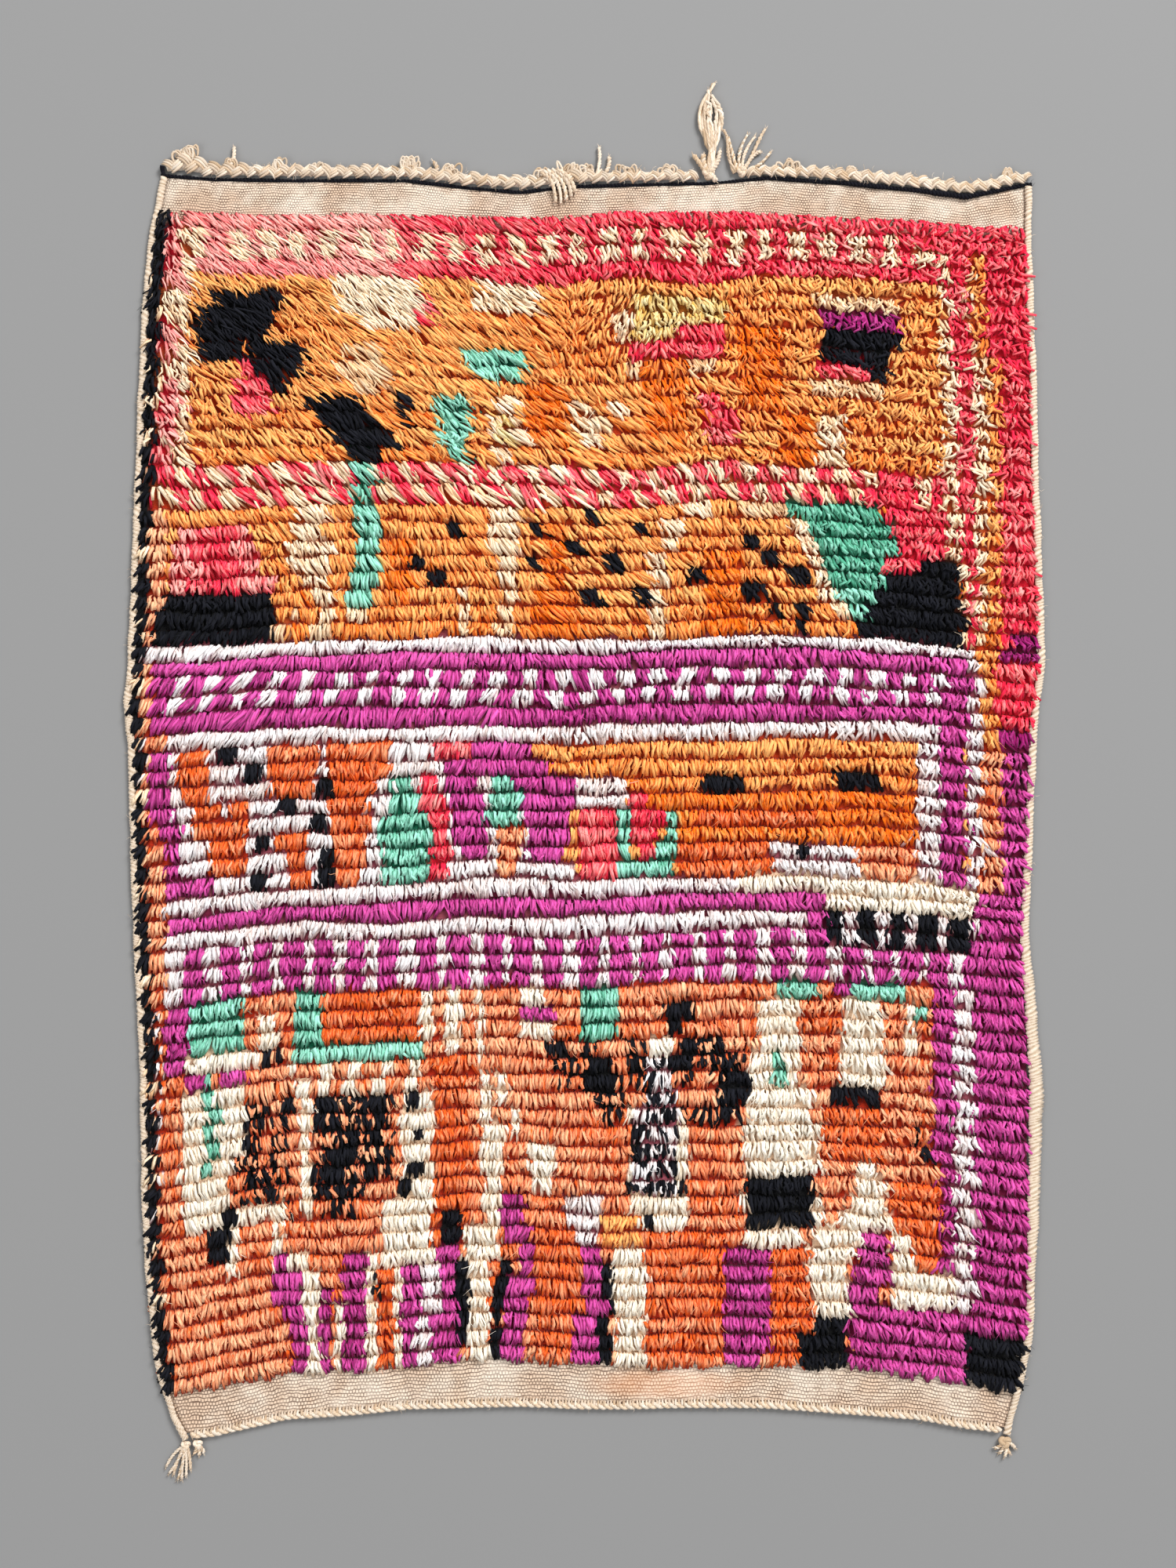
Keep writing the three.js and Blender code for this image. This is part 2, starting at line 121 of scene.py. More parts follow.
# the plait's left end and the line's upper end tell where the drawing lies in the frame
shift_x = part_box("left_plait")[0].x / MM - LEFT_PLAIT_START
shift_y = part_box("twined_line")[1].y / MM - float(line(LINE_START)) - LINE_WIDTH / 2
SHIFT = np.array([shift_x, shift_y, 0.0])
print("shift of the drawing in mm:", SHIFT.round(2))

# %% [markdown]
# ## Camera, floor and light
# The rug is seen from straight above, as a maker shows one off: the camera looks down from 3.7 m, so
# the far edges hardly lean. The floor is plain grey, and one large soft lamp stands beyond the
# upper right corner, so that every row of pile throws a short shadow down and to the left.

# %% Helpers for colours, objects and materials
def paint(code):
    """A colour code as linear red, green, blue and alpha."""
    parts = [int(code[i:i + 2], 16) / 255 for i in (1, 3, 5)]
    return tuple(p / 12.92 if p <= 0.04045 else ((p + 0.055) / 1.055) ** 2.4 for p in parts) + (1.0,)


def placed(name, data):
    """A new object of the scene, at the origin."""
    made = bpy.data.objects.new(name, data)
    bpy.context.scene.collection.objects.link(made)
    return made


def mesh_from(shape, name):
    """Turns a bmesh into a mesh."""
    mesh = bpy.data.meshes.new(name)
    shape.to_mesh(mesh)
    shape.free()
    return mesh


def new_finish(name):
    """A new material, its node tree and its Principled shader."""
    finish = bpy.data.materials.new(name)
    finish.use_nodes = True
    return finish, finish.node_tree, finish.node_tree.nodes["Principled BSDF"]


# %% Camera and floor
# the middle of the picture and its longer side, in mm on the floor
VIEW_MIDDLE = (6.6, -1.3)
VIEW_LENGTH = 2632
FLOOR_COLOUR = "#868686"
# metres from the middle of the floor to its edges
FLOOR_REACH = 4

camera_data = bpy.data.cameras.new("camera")
camera_data.lens = 50
camera_data.sensor_width = 36
camera_height = VIEW_LENGTH * MM * camera_data.lens / camera_data.sensor_width
camera = placed("camera", camera_data)
camera.location = (VIEW_MIDDLE[0] * MM, VIEW_MIDDLE[1] * MM, camera_height)
bpy.context.scene.camera = camera

floor_finish, _, floor_shader = new_finish("floor_finish")
floor_shader.inputs["Base Color"].default_value = paint(FLOOR_COLOUR)
floor_shader.inputs["Roughness"].default_value = 0.85
floor_shape = bmesh.new()
bmesh.ops.create_grid(floor_shape, x_segments=1, y_segments=1, size=FLOOR_REACH)
floor = placed("floor", mesh_from(floor_shape, "floor"))
floor.data.materials.append(floor_finish)
print("camera height in m:", round(camera_height, 3))

# %% Light
SKY_STRENGTH = 0.55


def lamp(name, place, size, power):
    """A square soft lamp that looks at the middle of the rug."""
    data = bpy.data.lights.new(name, "AREA")
    data.size = size
    data.energy = power
    made = placed(name, data)
    made.location = place
    made.rotation_euler = (-Vector(place)).to_track_quat("-Z", "Y").to_euler()


lamp("window", (5.8, 8.0, 8.5), 5.0, 1900)
lamp("fill", (-7.0, -3.0, 8.6), 7.0, 380)
world = bpy.data.worlds.new("studio")
world.use_nodes = True
sky = world.node_tree.nodes["Background"]
sky.inputs["Color"].default_value = (1.0, 1.0, 1.0, 1.0)
sky.inputs["Strength"].default_value = SKY_STRENGTH
bpy.context.scene.world = world
bpy.context.scene.view_settings.view_transform = "Standard"

# %% [markdown]
# ## Shared finishes
# Every yarn on the rug is hand-spun wool, so its finish is one family: fibres that run along the
# strand, painted shade that darkens the wool deep in the pile, a painted highlight that makes it
# paler near the crest, and strands that differ a little from one another. These effects are shader
# groups, built once and set into each material.

# %% Helpers for shader nodes
# a Mix node has sockets for every kind of value, and these are the ones for colours
MIX_SHARE, MIX_FIRST, MIX_SECOND, MIXED_COLOUR = 0, 6, 7, 2


def put(tree, kind, inputs=None, **settings):
    """A node of this kind, with its settings, and its inputs set to values or linked to sockets."""
    made = tree.nodes.new(kind)
    for name, value in settings.items():
        setattr(made, name, value)
    for name, value in (inputs or {}).items():
        socket = made.inputs[name]
        if isinstance(value, bpy.types.NodeSocket):
            tree.links.new(value, socket)
        else:
            socket.default_value = value
    return made


def math_node(tree, operation, first, second=0.0, third=0.0):
    """The result of one step of arithmetic."""
    made = put(tree, "ShaderNodeMath", {0: first, 1: second, 2: third}, operation=operation)
    return made.outputs[0]


def mapped(tree, value, low, high, to_low=0.0, to_high=1.0):
    """Takes a value between low and high smoothly to the new range."""
    made = put(tree, "ShaderNodeMapRange", {"Value": value, "From Min": low, "From Max": high,
               "To Min": to_low, "To Max": to_high}, interpolation_type="SMOOTHSTEP")
    return made.outputs["Result"]


def blended(tree, share, first, second):
    """Mixes two colours by a share."""
    inputs = {MIX_SHARE: share, MIX_FIRST: first, MIX_SECOND: second}
    return put(tree, "ShaderNodeMix", inputs, data_type="RGBA").outputs[MIXED_COLOUR]


# %% Helpers for groups and materials
def new_group(name, inputs, outputs):
    """A shader group. An input is a name and its default, and an output is a name and its kind."""
    group = bpy.data.node_groups.new(name, "ShaderNodeTree")
    for label, default in inputs.items():
        kind = {float: "Float", tuple: "Color", list: "Vector"}[type(default)]
        socket = group.interface.new_socket(label, in_out="INPUT", socket_type="NodeSocket" + kind)
        socket.default_value = default
    for label, kind in outputs.items():
        group.interface.new_socket(label, in_out="OUTPUT", socket_type="NodeSocket" + kind)
    start = group.nodes.new("NodeGroupInput")
    finish = group.nodes.new("NodeGroupOutput")
    return group, start.outputs, finish.inputs


def join_to_shader(tree, shader, colour, effect, depth, strength):
    """Joins a colour, and the roughness and relief of an effect, to a Principled shader."""
    bump = put(tree, "ShaderNodeBump", {"Height": effect.outputs["Height"], "Distance": depth * MM,
               "Strength": strength})
    tree.links.new(colour, shader.inputs["Base Color"])
    tree.links.new(effect.outputs["Roughness"], shader.inputs["Roughness"])
    tree.links.new(bump.outputs["Normal"], shader.inputs["Normal"])


# %% Wool fibre: streaks along a strand, the strand's own shade, and painted light and shade by height
# heights over the floor in mm: over the first range the dye is painted paler towards the crest, as
# painted highlight, and below the second the wool is painted darker towards its root colour, as
# painted shade deep in the pile
CREST_RANGE = (8, 18)
PAINTED_SHADE_RANGE = (5, 12)
# how far the painted highlight moves the tint: paler at the crest, deeper low in the pile
CREST_HIGHLIGHT = 0.5
# the shade of a strand also moves its fibres, so that no two strands are streaked alike
FIBRE_SHIFT = 37.0
wool_fibre, given, gives = new_group(
    "wool_fibre",
    {"Strand": [0.0, 0.0, 0.0], "Pale": (0.9, 0.4, 0.1, 1.0), "Deep": (0.8, 0.3, 0.05, 1.0),
     "Painted Shade": (0.3, 0.1, 0.02, 1.0), "Tint": 0.5, "Shade": 0.5, "Streaks": 5.0, "Lengths": 1.6,
     "Twist": 0.0, "Painted Light Share": 1.0},
    {"Color": "Color", "Roughness": "Float", "Height": "Float"},
)
parts = put(wool_fibre, "ShaderNodeSeparateXYZ", {"Vector": given["Strand"]})
turned = math_node(wool_fibre, "MULTIPLY_ADD", parts.outputs["Y"], given["Twist"], parts.outputs["X"])
around = math_node(wool_fibre, "MULTIPLY", turned, given["Streaks"])
lengthwise = math_node(wool_fibre, "MULTIPLY", parts.outputs["Y"], given["Lengths"])
offset = math_node(wool_fibre, "MULTIPLY", given["Shade"], FIBRE_SHIFT)
fibre_place = put(wool_fibre, "ShaderNodeCombineXYZ", {"X": around, "Y": lengthwise, "Z": offset})
fibres = put(wool_fibre, "ShaderNodeTexNoise", {"Vector": fibre_place.outputs["Vector"],
             "Scale": 2.4, "Detail": 3.0, "Roughness": 0.65})
fibre = fibres.outputs["Fac"]
# the height over the floor tells how deep in the pile a place lies
place = put(wool_fibre, "ShaderNodeTexCoord").outputs["Object"]
height = put(wool_fibre, "ShaderNodeSeparateXYZ", {"Vector": place}).outputs["Z"]
# painted highlight: the dye turns paler near the crest and deeper lower down
at_crest = mapped(wool_fibre, height, CREST_RANGE[0] * MM, CREST_RANGE[1] * MM)
crest = math_node(wool_fibre, "MULTIPLY", at_crest, given["Painted Light Share"])
highlight_shift = math_node(wool_fibre, "MULTIPLY_ADD", crest, -CREST_HIGHLIGHT, CREST_HIGHLIGHT / 2)
uneven = mapped(wool_fibre, fibre, 0.3, 0.7, 0.22, -0.22)
tint = math_node(wool_fibre, "ADD", given["Tint"], math_node(wool_fibre, "ADD", highlight_shift, uneven))
tint = math_node(wool_fibre, "MINIMUM", math_node(wool_fibre, "MAXIMUM", tint, 0.0), 1.0)
dyed = blended(wool_fibre, tint, given["Pale"], given["Deep"])
streak = mapped(wool_fibre, fibre, 0.32, 0.68, 0.84, 1.12)
own = mapped(wool_fibre, given["Shade"], 0.0, 1.0, 0.82, 1.18)
brightness = math_node(wool_fibre, "MULTIPLY", streak, own)
shade = put(wool_fibre, "ShaderNodeHueSaturation", {"Color": dyed, "Value": brightness})
# painted shade: deep in the pile the wool is blended towards its root colour, as if in shadow
painted_shade_depth = mapped(wool_fibre, height, PAINTED_SHADE_RANGE[0] * MM, PAINTED_SHADE_RANGE[1] * MM, 1.0, 0.0)
painted_shade_share = math_node(wool_fibre, "MULTIPLY", painted_shade_depth, given["Painted Light Share"])
with_painted_shade = blended(wool_fibre, painted_shade_share, shade.outputs["Color"], given["Painted Shade"])
wool_fibre.links.new(with_painted_shade, gives["Color"])
wool_fibre.links.new(mapped(wool_fibre, fibre, 0.3, 0.7, 0.78, 0.96), gives["Roughness"])
wool_fibre.links.new(fibre, gives["Height"])
print("group:", wool_fibre.name, len(wool_fibre.nodes), "nodes")

# %% [markdown]
# A wool material joins the fibre group to a Principled shader. The strand's own map gives the place
# around and along it, and two attributes say how deep its dye took and how bright it is. Sheen is a
# constant, because the soft glow of wool fibres is the same all over.

# %% Wool materials
WOOL_RELIEF = 0.6


def wool(name, pale, deep, root, streaks=5.0, lengths=1.6, twist=0.0, painted_light_share=1.0, sheen=0.06):
    """Hand-spun wool between two shades of one dye, with painted shade in the root colour deep in the
    pile and a painted highlight near the crest. A cord takes neither, and is long and twisted.
    """
    finish, tree, shader = new_finish(name)
    strand = put(tree, "ShaderNodeUVMap", uv_map="strand")
    tint = put(tree, "ShaderNodeAttribute", attribute_name="tint")
    shade_of = put(tree, "ShaderNodeAttribute", attribute_name="shade")
    settings = {
        "Strand": strand.outputs["UV"], "Tint": tint.outputs["Fac"], "Shade": shade_of.outputs["Fac"],
        "Pale": paint(pale), "Deep": paint(deep), "Painted Shade": paint(root), "Streaks": streaks,
        "Lengths": lengths, "Twist": twist, "Painted Light Share": painted_light_share,
    }
    fibre = put(tree, "ShaderNodeGroup", settings, node_tree=wool_fibre)
    join_to_shader(tree, shader, fibre.outputs["Color"], fibre, WOOL_RELIEF, 0.7)
    shader.inputs["Sheen Weight"].default_value = sheen
    shader.inputs["Sheen Roughness"].default_value = 0.5
    shader.inputs["Specular IOR Level"].default_value = 0.1
    return finish


# pale shade, deep shade, root: the colour of the painted shade deep in the pile and on the ground
# under it, and the slot of the record that the yarn belongs to
YARNS = {
    "light_orange": ("#FFBC70", "#F4720C", "#B03206", "orange_wool"),
    "coral_orange": ("#FFC498", "#EC6420", "#A82606", "orange_wool"),
    "red": ("#FFB4AA", "#FA2A4E", "#BE0A24", "red_wool"),
    "purple": ("#E25AAE", "#981466", "#64042E", "purple_wool"),
    "mint": ("#A4E6D0", "#54AA8A", "#085A40", "mint_wool"),
    "cream": ("#FBF7F8", "#E6D0C6", "#8E4450", "cream_wool"),
    "oat": ("#FFF6E6", "#F2E0C8", "#ECCBAA", "cream_wool"),
    "ecru": ("#FFEACC", "#EFC290", "#A8481C", "cream_wool"),
    "yellow": ("#F6E8B4", "#E0B052", "#A05A16", "cream_wool"),
    "black": ("#1C1D24", "#090A10", "#010103", "black_wool"),
}
DARK_YARN_SHEEN = 0.02
yarn_finish = {name: wool("wool_" + name, *shades[:3]) for name, shades in YARNS.items()}
black_shader = yarn_finish["black"].node_tree.nodes["Principled BSDF"]
black_shader.inputs["Sheen Weight"].default_value = DARK_YARN_SHEEN
print("wool materials:", len(yarn_finish))

# %% [markdown]
# ## The weaver's chart
# The pile has 67 rows. They fall into bands, and a band is deeper on one side of the rug than on the
# other, so each is measured at three places across. The pattern is noted as a weaver might keep it:
# a dye, then rows and knots. A knot is 6.58 mm wide, counted from the left of the field.

# %% Rows of knots
# rows in the band, and its depth in mm at the left, middle and right of the rug
BANDS = np.array([
    (4, 95, 107, 100), (11, 328, 307, 324), (2, 75, 72, 58), (8, 232, 224, 226), (1, 25, 25, 17),
    (1, 25, 29, 32), (2, 62, 63, 58), (1, 36, 32, 26), (1, 26, 29, 32), (8, 250, 226, 238),
    (1, 29, 32, 24), (1, 29, 32, 25), (1, 26, 34, 30), (3, 95, 88, 91), (22, 653, 633, 663),
])
MEASURED_AT = (-638, -33, 599)
ROWS = int(BANDS[:, 0].sum())
KNOT = 6.58
KNOT_ORIGIN = -730
FIRST_KNOT = -8
LAST_KNOT = 232
# places where beating sank a few rows: row, rows around it, place across, breadth in mm, drop in mm
SAGS = ((4, 2.2, 200, 75, 20), (15, 3.5, 70, 95, 13), (9, 3.0, -60, 120, 6), (24, 2.0, 110, 130, 7),
        (33, 4.0, 250, 140, 6), (41, 3.0, -330, 120, 5), (56, 4.0, 150, 160, 5))
# waves of a row's line: height and length in mm
WAVES = ((2.0, 95), (1.7, 37), (1.1, 15))
wander = np.random.default_rng(SEED).uniform(0, 2 * math.pi, (len(WAVES), ROWS + 1))
row_of_band = np.repeat(np.arange(len(BANDS)), BANDS[:, 0])


def row_line(row, x):
    """Height up the rug of the line above a row, at places x. The lines wander as hand beating does."""
    x = np.atleast_1d(np.asarray(x, float))
    depths = np.stack([np.interp(x, MEASURED_AT, band[1:] / band[0]) for band in BANDS])
    whole = (depths * BANDS[:, :1]).sum(axis=0)
    above = depths[row_of_band[:row]].sum(axis=0) if row else 0.0
    waves = sum(high * np.sin(x / long + wander[i, row]) for i, (high, long) in enumerate(WAVES))
    if row in (0, ROWS):
        waves = waves * 0.5
    else:
        for sag_row, rows_around, middle, breadth, drop in SAGS:
            away = ((row - sag_row) / rows_around) ** 2 + ((x - middle) / breadth) ** 2
            waves = waves - drop * np.exp(-away)
    return pile_top(x) - (pile_top(x) - pile_foot(x)) * above / whole + waves


print("rows:", ROWS, "mean pitch in mm:", round(float(pile_top(0) - pile_foot(0)) / ROWS, 2))

# %% The dyes
# the yarn, and how deep the dye took, from 0 for the pale shade to 1 for the deep one
DYES = {
    "light": ("light_orange", 0.35), "rich": ("light_orange", 0.95), "deep": ("coral_orange", 0.95),
    "coral": ("coral_orange", 0.5), "peach": ("coral_orange", 0.05), "red": ("red", 0.85),
    "rose": ("red", 0.18), "purple": ("purple", 0.35), "plum": ("purple", 0.95),
    "mint": ("mint", 0.3), "sage": ("mint", 0.85), "white": ("cream", 0.05), "cream": ("cream", 0.4),
    "oat": ("oat", 0.35), "ivory": ("ecru", 0.3), "buff": ("ecru", 0.9), "yellow": ("yellow", 0.5),
    "black": ("black", 0.4), "scribble": ("black", 0.4), "streaked": ("cream", 0.2),
    "mixed": ("coral_orange", 0.2),
}
DYE_NAMES = list(DYES)
# two dyes tied strand by strand, and the share of the first
MIXES = {"scribble": ("black", "coral", 0.55), "streaked": ("black", "white", 0.38),
         "mixed": ("peach", "cream", 0.55)}

# %% [markdown]
# Each line of notes is a dye and its marks, row:knots or rows:knots, and a later line is tied over
# an earlier one. The fields come first, then the small figures of each band from the top down.

# %% Notes for the fields and the upper bands
UPPER_NOTES = """
red 0-3:-8-232
rose 0-3:-8-60
ivory 1-2:9-13 1-2:19-23 1-2:27-31 1-2:35-38
ivory 1-14:-8-10
rose 0-4:3-7 7:3-6 8:2-5 10:4-6 11-12:2-6 13:3-6 14:2-5
light 4-14:10-202
black 5:15-32 6:12-30 7:11-28 8:12-23 8:25-37 9:26-36 10:30-34
red 9:23-25 10:21-29 11:20-30
ivory 4:46-65 5:46-67 6:50-65
red 5:68-69 6:66-69
buff 8:47-56 9:46-58 10:51-58
black 11:40-52 12:42-54 13:46-61 14:50-58 11:62-65 12:62-64
ivory 4:82-97 5:82-97
yellow 5:124-147 6:124-146 7:123-134
ivory 6:119-123 7:119-122
red 7:135-146 8:123-145
buff 9:122-143
mint 8:79-94 9:81-93 11:72-80 12:72-80 13:73-80 14:76-79
ivory 11:86-92 12:85-93 13:86-95 14:87-91
yellow 12:89-91 13:88-90
ivory 11:106-111 11:116-119 12:107-116 13:109-114
red 11:139-145 12:141-149 13:142-148
rich 7-11:150-160 9-13:126-136 10-13:96-104 12-14:160-168
buff 5:169-190
plum 6:171-190
black 7:172-191 8:171-189 9:184-188
red 9:170-183
buff 10:168-186
ivory 12:170-177 13:170-177 14:170-177
red 15-16:-8-205
mint 15-16:51-55
red 15-16:188-205
ivory 15:196-199 16:196-198
light 17-24:4-204
peach 17-24:-8-4
rose 18:8-25 19:6-26 20:6-28 21:6-32
red 18:12-22 19:10-20 20:14-24 21:10-22
black 22:5-31 23:3-32 24:2-32
ivory 17:37-44 18:36-43 19:35-46 20:35-45 21:39-45 22:42-46 23:37-38 23:44-46 24:33-35 24:41-46
mint 17:52-57 18:53-58 19:53-58 20:53-57 21:52-58 22:51-56
ivory 23:51-55
ivory 17:86-93 18:86-93 19:86-93 20:89-93 21:89-92 22:90-93 23:89-92 24:89-92
ivory 22:79-81 23:79-81 24:79-81
black 17:111-112 18:97-101 19:106-109 18:76-78 20:67-69 21:72-75 20:96-98 20:115-119
black 18:124-126 21:137-141 22:110-114 22:123-126 19:152-154 20:156-159 21:162-167
black 22:152-156 23:158-160 23:165-167 24:165-166
ivory 17:135-142 18:130-135 19:130-134 20:127-130 21:127-131 22:127-130 23-24:127-131
buff 17:150-162
rich 19-22:60-66 18-21:100-105 20-24:142-150 22-24:98-108
sage 17:163-186 18:168-189 19:170-190 20:172-187 21:173-187
mint 22:175-184 23:178-184
ivory 18:163-167 19:166-169 20:168-171 21:170-172 22:171-174 23:174-177
red 17:188-205 18:190-205 19:191-205 20:188-196 21:188-196
black 20:197-206 21:188-206 22:185-206 23:182-207 24:180-208
cream 25:-8-208
white 25:127-141
purple 26-29:-8-232
peach 26-29:-8-1
"""

# %% Notes for the middle bands
MIDDLE_NOTES = """
cream 30:-8-232
cream 31-38:-8-97
coral 30-44:-8-5
mixed 30-37:-4-0
light 31:98-196 32:103-196 33-38:98-196
purple 31:1-5 32:1-5 33:1-5 34:2-6 35:3-8 36:5-8 37:5-8 38:5-16
deep 31:9-16 32:8-15 33:9-15 34:12-18 35:12-25 36:16-25 37:16-25 34:21-25
deep 31:32-43 32:31-43 33:32-42
deep 31:46-62 32:46-62 33:46-58 34:46-56
deep 35:47-56 36:47-55 37:48-55 38:48-54 36:33-40 37:36-40 38:37-41
black 31:18-22 32:25-29 33:44-46 34:34-37 35:42-45 36:28-30 37-38:44-47 38:27-30
cream 34-38:57-61
mint 33:62-67 34:62-69 35:60-71 36:59-72 37-38:60-71
red 31:73-82 33:70-73 34:70-75 35:72-76 36:73-76 37:72-77 38:72-76
purple 31:83-97 32:76-102 33:77-83 33:93-108 34:77-85 34:96-108 35:78-85 35:96-107
purple 36:78-86 36:98-107 37:80-86 37:97-105
mint 33:88-92 34:88-95 35:86-94
cream 33:84-87 36:87-88 36:96-97
coral 36:89-95 37:90-94 38:89-93
cream 38:78-88 38:94-108
cream 33-34:109-121
red 35:110-119 36-38:110-119
red 34:123-126 35:123-131 36:123-129 37:125-128
light 31-33:122-196
mint 35-37:120-122 35-36:132-134 37:130-134 38:120-133
rich 34:127-196 35:136-196 36:136-196
deep 37-38:135-158 35:140-170
black 33:141-151 33:175-185
cream 37:159-180 38:159-180
black 37:165-168
coral 37-38:181-195
cream 31-38:196-201
purple 30-38:202-207
cream 39:5-150
oat 39:151-210
purple 40:6-172
oat 40:173-210
cream 41:5-167
purple 41:168-172
cream 42-44:5-210
cream 41:173-210
black 41-42:173-176 41-42:181-185 41-42:189-192 41-42:196-200 41-42:204-209
"""

# %% Notes for the lower field, rows 45 to 56
LOWER_NOTES = """
coral 45-66:-8-204
mixed 45-66:-4-3
deep 49-59:73-81
purple 45-48:5-10
mint 45-47:11-24
oat 46-47:29-33
mint 45-47:38-44 48:38-69
deep 45-47:45-69
oat 48:10-28
black 48:30-31 48:33-34
purple 49:10-14 49:19-24
mint 49:15-16 50:14-16 51:16-18 52:14-16 53:15-18 54:14-16
oat 50:9-13 50:17-24 51:9-15 51:19-24 52:9-13 52:17-24 53:9-14 53:19-24 54:9-13 54:17-24 55-57:9-20
oat 49:36-37 49:44-46 49:52-54 49:60-62 49:67-69 50:38-40 50:44-46 50:50-52 50:57-59 50:66-68
scribble 51:25-31 52:25-30 51:34-37 52:32-35 53:32-35 54:22-28 54:30-33 55:26-35
scribble 56:22-35 53:25-28 57:32-36
oat 50-57:39-41
scribble 51:43-61 52:43-61 53:44-62 54:44-62 55:42-61 56:42-56 57:46-52
black 51-52:43-45 51-52:58-60 53-54:50-53 54-55:45-47 53:57-59 55-56:48-49
oat 51-57:65-72
black 51:66-68 53:68-69 55:67-69 56:64-66
oat 57-60:60-72
oat 57:12-18 57:23-32
black 57:19-22 58:16-20 59:16-20
oat 58-60:21-22 57-60:32-34
oat 45-47:70-72 45-48:76-79 45-49:84-85 50-52:85-87 53-55:85-90 56-58:86-89
oat 45:95-100 47:95-102
purple 46:95-103
mint 45-47:110-119
black 46:132-138 47:133-136
scribble 48:101-107 48:111-113 48:119-127 49:103-112 49:122-128 50:105-110 50:119-126
black 49:113-117 50:111-118 51:113-117
scribble 51:112-122 52:114-120
oat 48:128-133
streaked 49-51:127-134
oat 52-58:123-137
streaked 52-56:124-134
black 53-54:123-125 56:122-123 56:136-137 55:133-134 58:127-128
black 48:136-139 49:134-138
scribble 48:140-146 49:139-152 50:143-156 51:144-155 52:136-150 50:134-138
black 50:147-153 51:147-153
oat 50-51:89-91 52-53:93-94 54-55:97-103 56:99-102
mint 45:160-170 45:179-192 46:193-198
purple 45:175-178
oat 46-48:156-165 49-50:154-165
mint 49:159-160 50:159-162
oat 51:154-168 52:153-168 53:151-171 54:152-170 55:152-170
black 56-58:153-168
oat 57:151-152 57-58:169-171 59:153-166
oat 46-48:177-186 49-50:176-187
black 51:175-185
oat 46-48:193-195
deep 52-54:172-186
black 53:195-196 54:197-198
oat 55:181-185 56:180-187 57:179-187 58:176-189 59:169-181 59:189-193
deep 56-58:189-203 59-60:195-205
"""

# %% Notes for the foot, rows 57 to 66
FOOT_NOTES = """
purple 60:33-35 61-62:32-39 63:34-40 64-66:37-42
oat 60:36-41 61-63:40-43
purple 62-66:44-46
purple 60-66:50-55
oat 63-66:48-49 64-66:41-43
oat 60-66:56-58
black 61-62:58-59
oat 60-66:63-64
deep 61-66:59-62
purple 61-66:65-70
cream 61-63:70-75 64:69-71 65:68-73 66:69-72
black 58-59:75-79
purple 60:73-79 61-63:75-79 64:72-79 65-66:73-79
black 61-65:79-81
oat 59:81-89 60:81-89 61-66:82-86
purple 57-58:90-95 59:91-98 60-61:95-99 62:92-99 63-64:91-96 65-66:90-95
deep 61-63:87-89
black 61:90-92 62:89-91 63:88-90 64:88-89 65:88-90 66:87-89
deep 59-66:99-110
cream 57-58:106-115 59:109-114
purple 60-61:111-115 62-63:111-117 64-66:108-114
black 61-62:116-118 63:118-119 64-66:115-117
light 58-59:116-124
oat 60-66:119-126
deep 59-66:127-146
purple 60-65:147-158 66:147-155
deep 60-66:159-168
purple 59:182-187 60:181-188 61:180-188 62:179-185
oat 60:168-179 60:190-194 61:168-177 62:169-178 63:170-178
oat 61-62:189-208
purple 63-66:179-209
black 64:170-178 65-66:166-177
"""

# %% [markdown]
# The checks and bars that repeat are tied by loops, and so are the borders, whose stripes follow the
# right edge of the rug from the top to the foot.

# %% Tie the chart
chart = np.full((ROWS, LAST_KNOT - FIRST_KNOT + 1), DYE_NAMES.index("light"))


def tie(dye, rows, first, last):
    """Ties the knots from first to last in some rows with one dye."""
    for row in rows:
        begin = max(int(round(first)) - FIRST_KNOT, 0)
        chart[row, begin:max(int(round(last)) - FIRST_KNOT + 1, 0)] = DYE_NAMES.index(dye)


def span(text):
    """The numbers of a mark such as 5, 5-8 or -8-12."""
    first, _, last = text[1:].partition("-")
    first = text[:1] + first
    return int(first), int(last or first)


def follow(notes):
    """Ties the marks of every line of notes."""
    for note in notes.strip().splitlines():
        dye, *marks = note.split()
        for mark in marks:
            rows, knots = (span(part) for part in mark.split(":"))
            tie(dye, range(rows[0], rows[1] + 1), *knots)


# %% Tie the bands from the top down
# first knots of the purple checks; the weaver spaced them by eye
CHECKS = (10, 19, 27, 35, 43, 51, 59, 69, 77, 86, 93, 101, 110, 118, 126, 134, 142, 150, 159, 168,
          177, 185, 192, 199)
follow(UPPER_NOTES)
for step, knot in enumerate(range(43, 196, 8)):
    tie("ivory", (1, 2), knot, knot + 3 + step % 2)
for knot in range(6, 186, 8):
    tie("ivory", (15,), knot, knot + 3)
    tie("ivory", (16,), knot - 4, knot - 1)
tie("mint", (15, 16), 51, 55)
for knot in range(8, 204, 8):
    tie("white", (27,), knot, knot + 3)
    tie("white", (28,), knot - 2, knot + 1)
follow(MIDDLE_NOTES)
for knot in CHECKS:
    tie("purple", (42, 43, 44) if knot < 172 else (43, 44), knot, knot + 4)
follow(LOWER_NOTES)
tie("purple", range(45, 55), 200, 206)
tie("purple", range(55, 61), 202, 206)
follow(FOOT_NOTES)

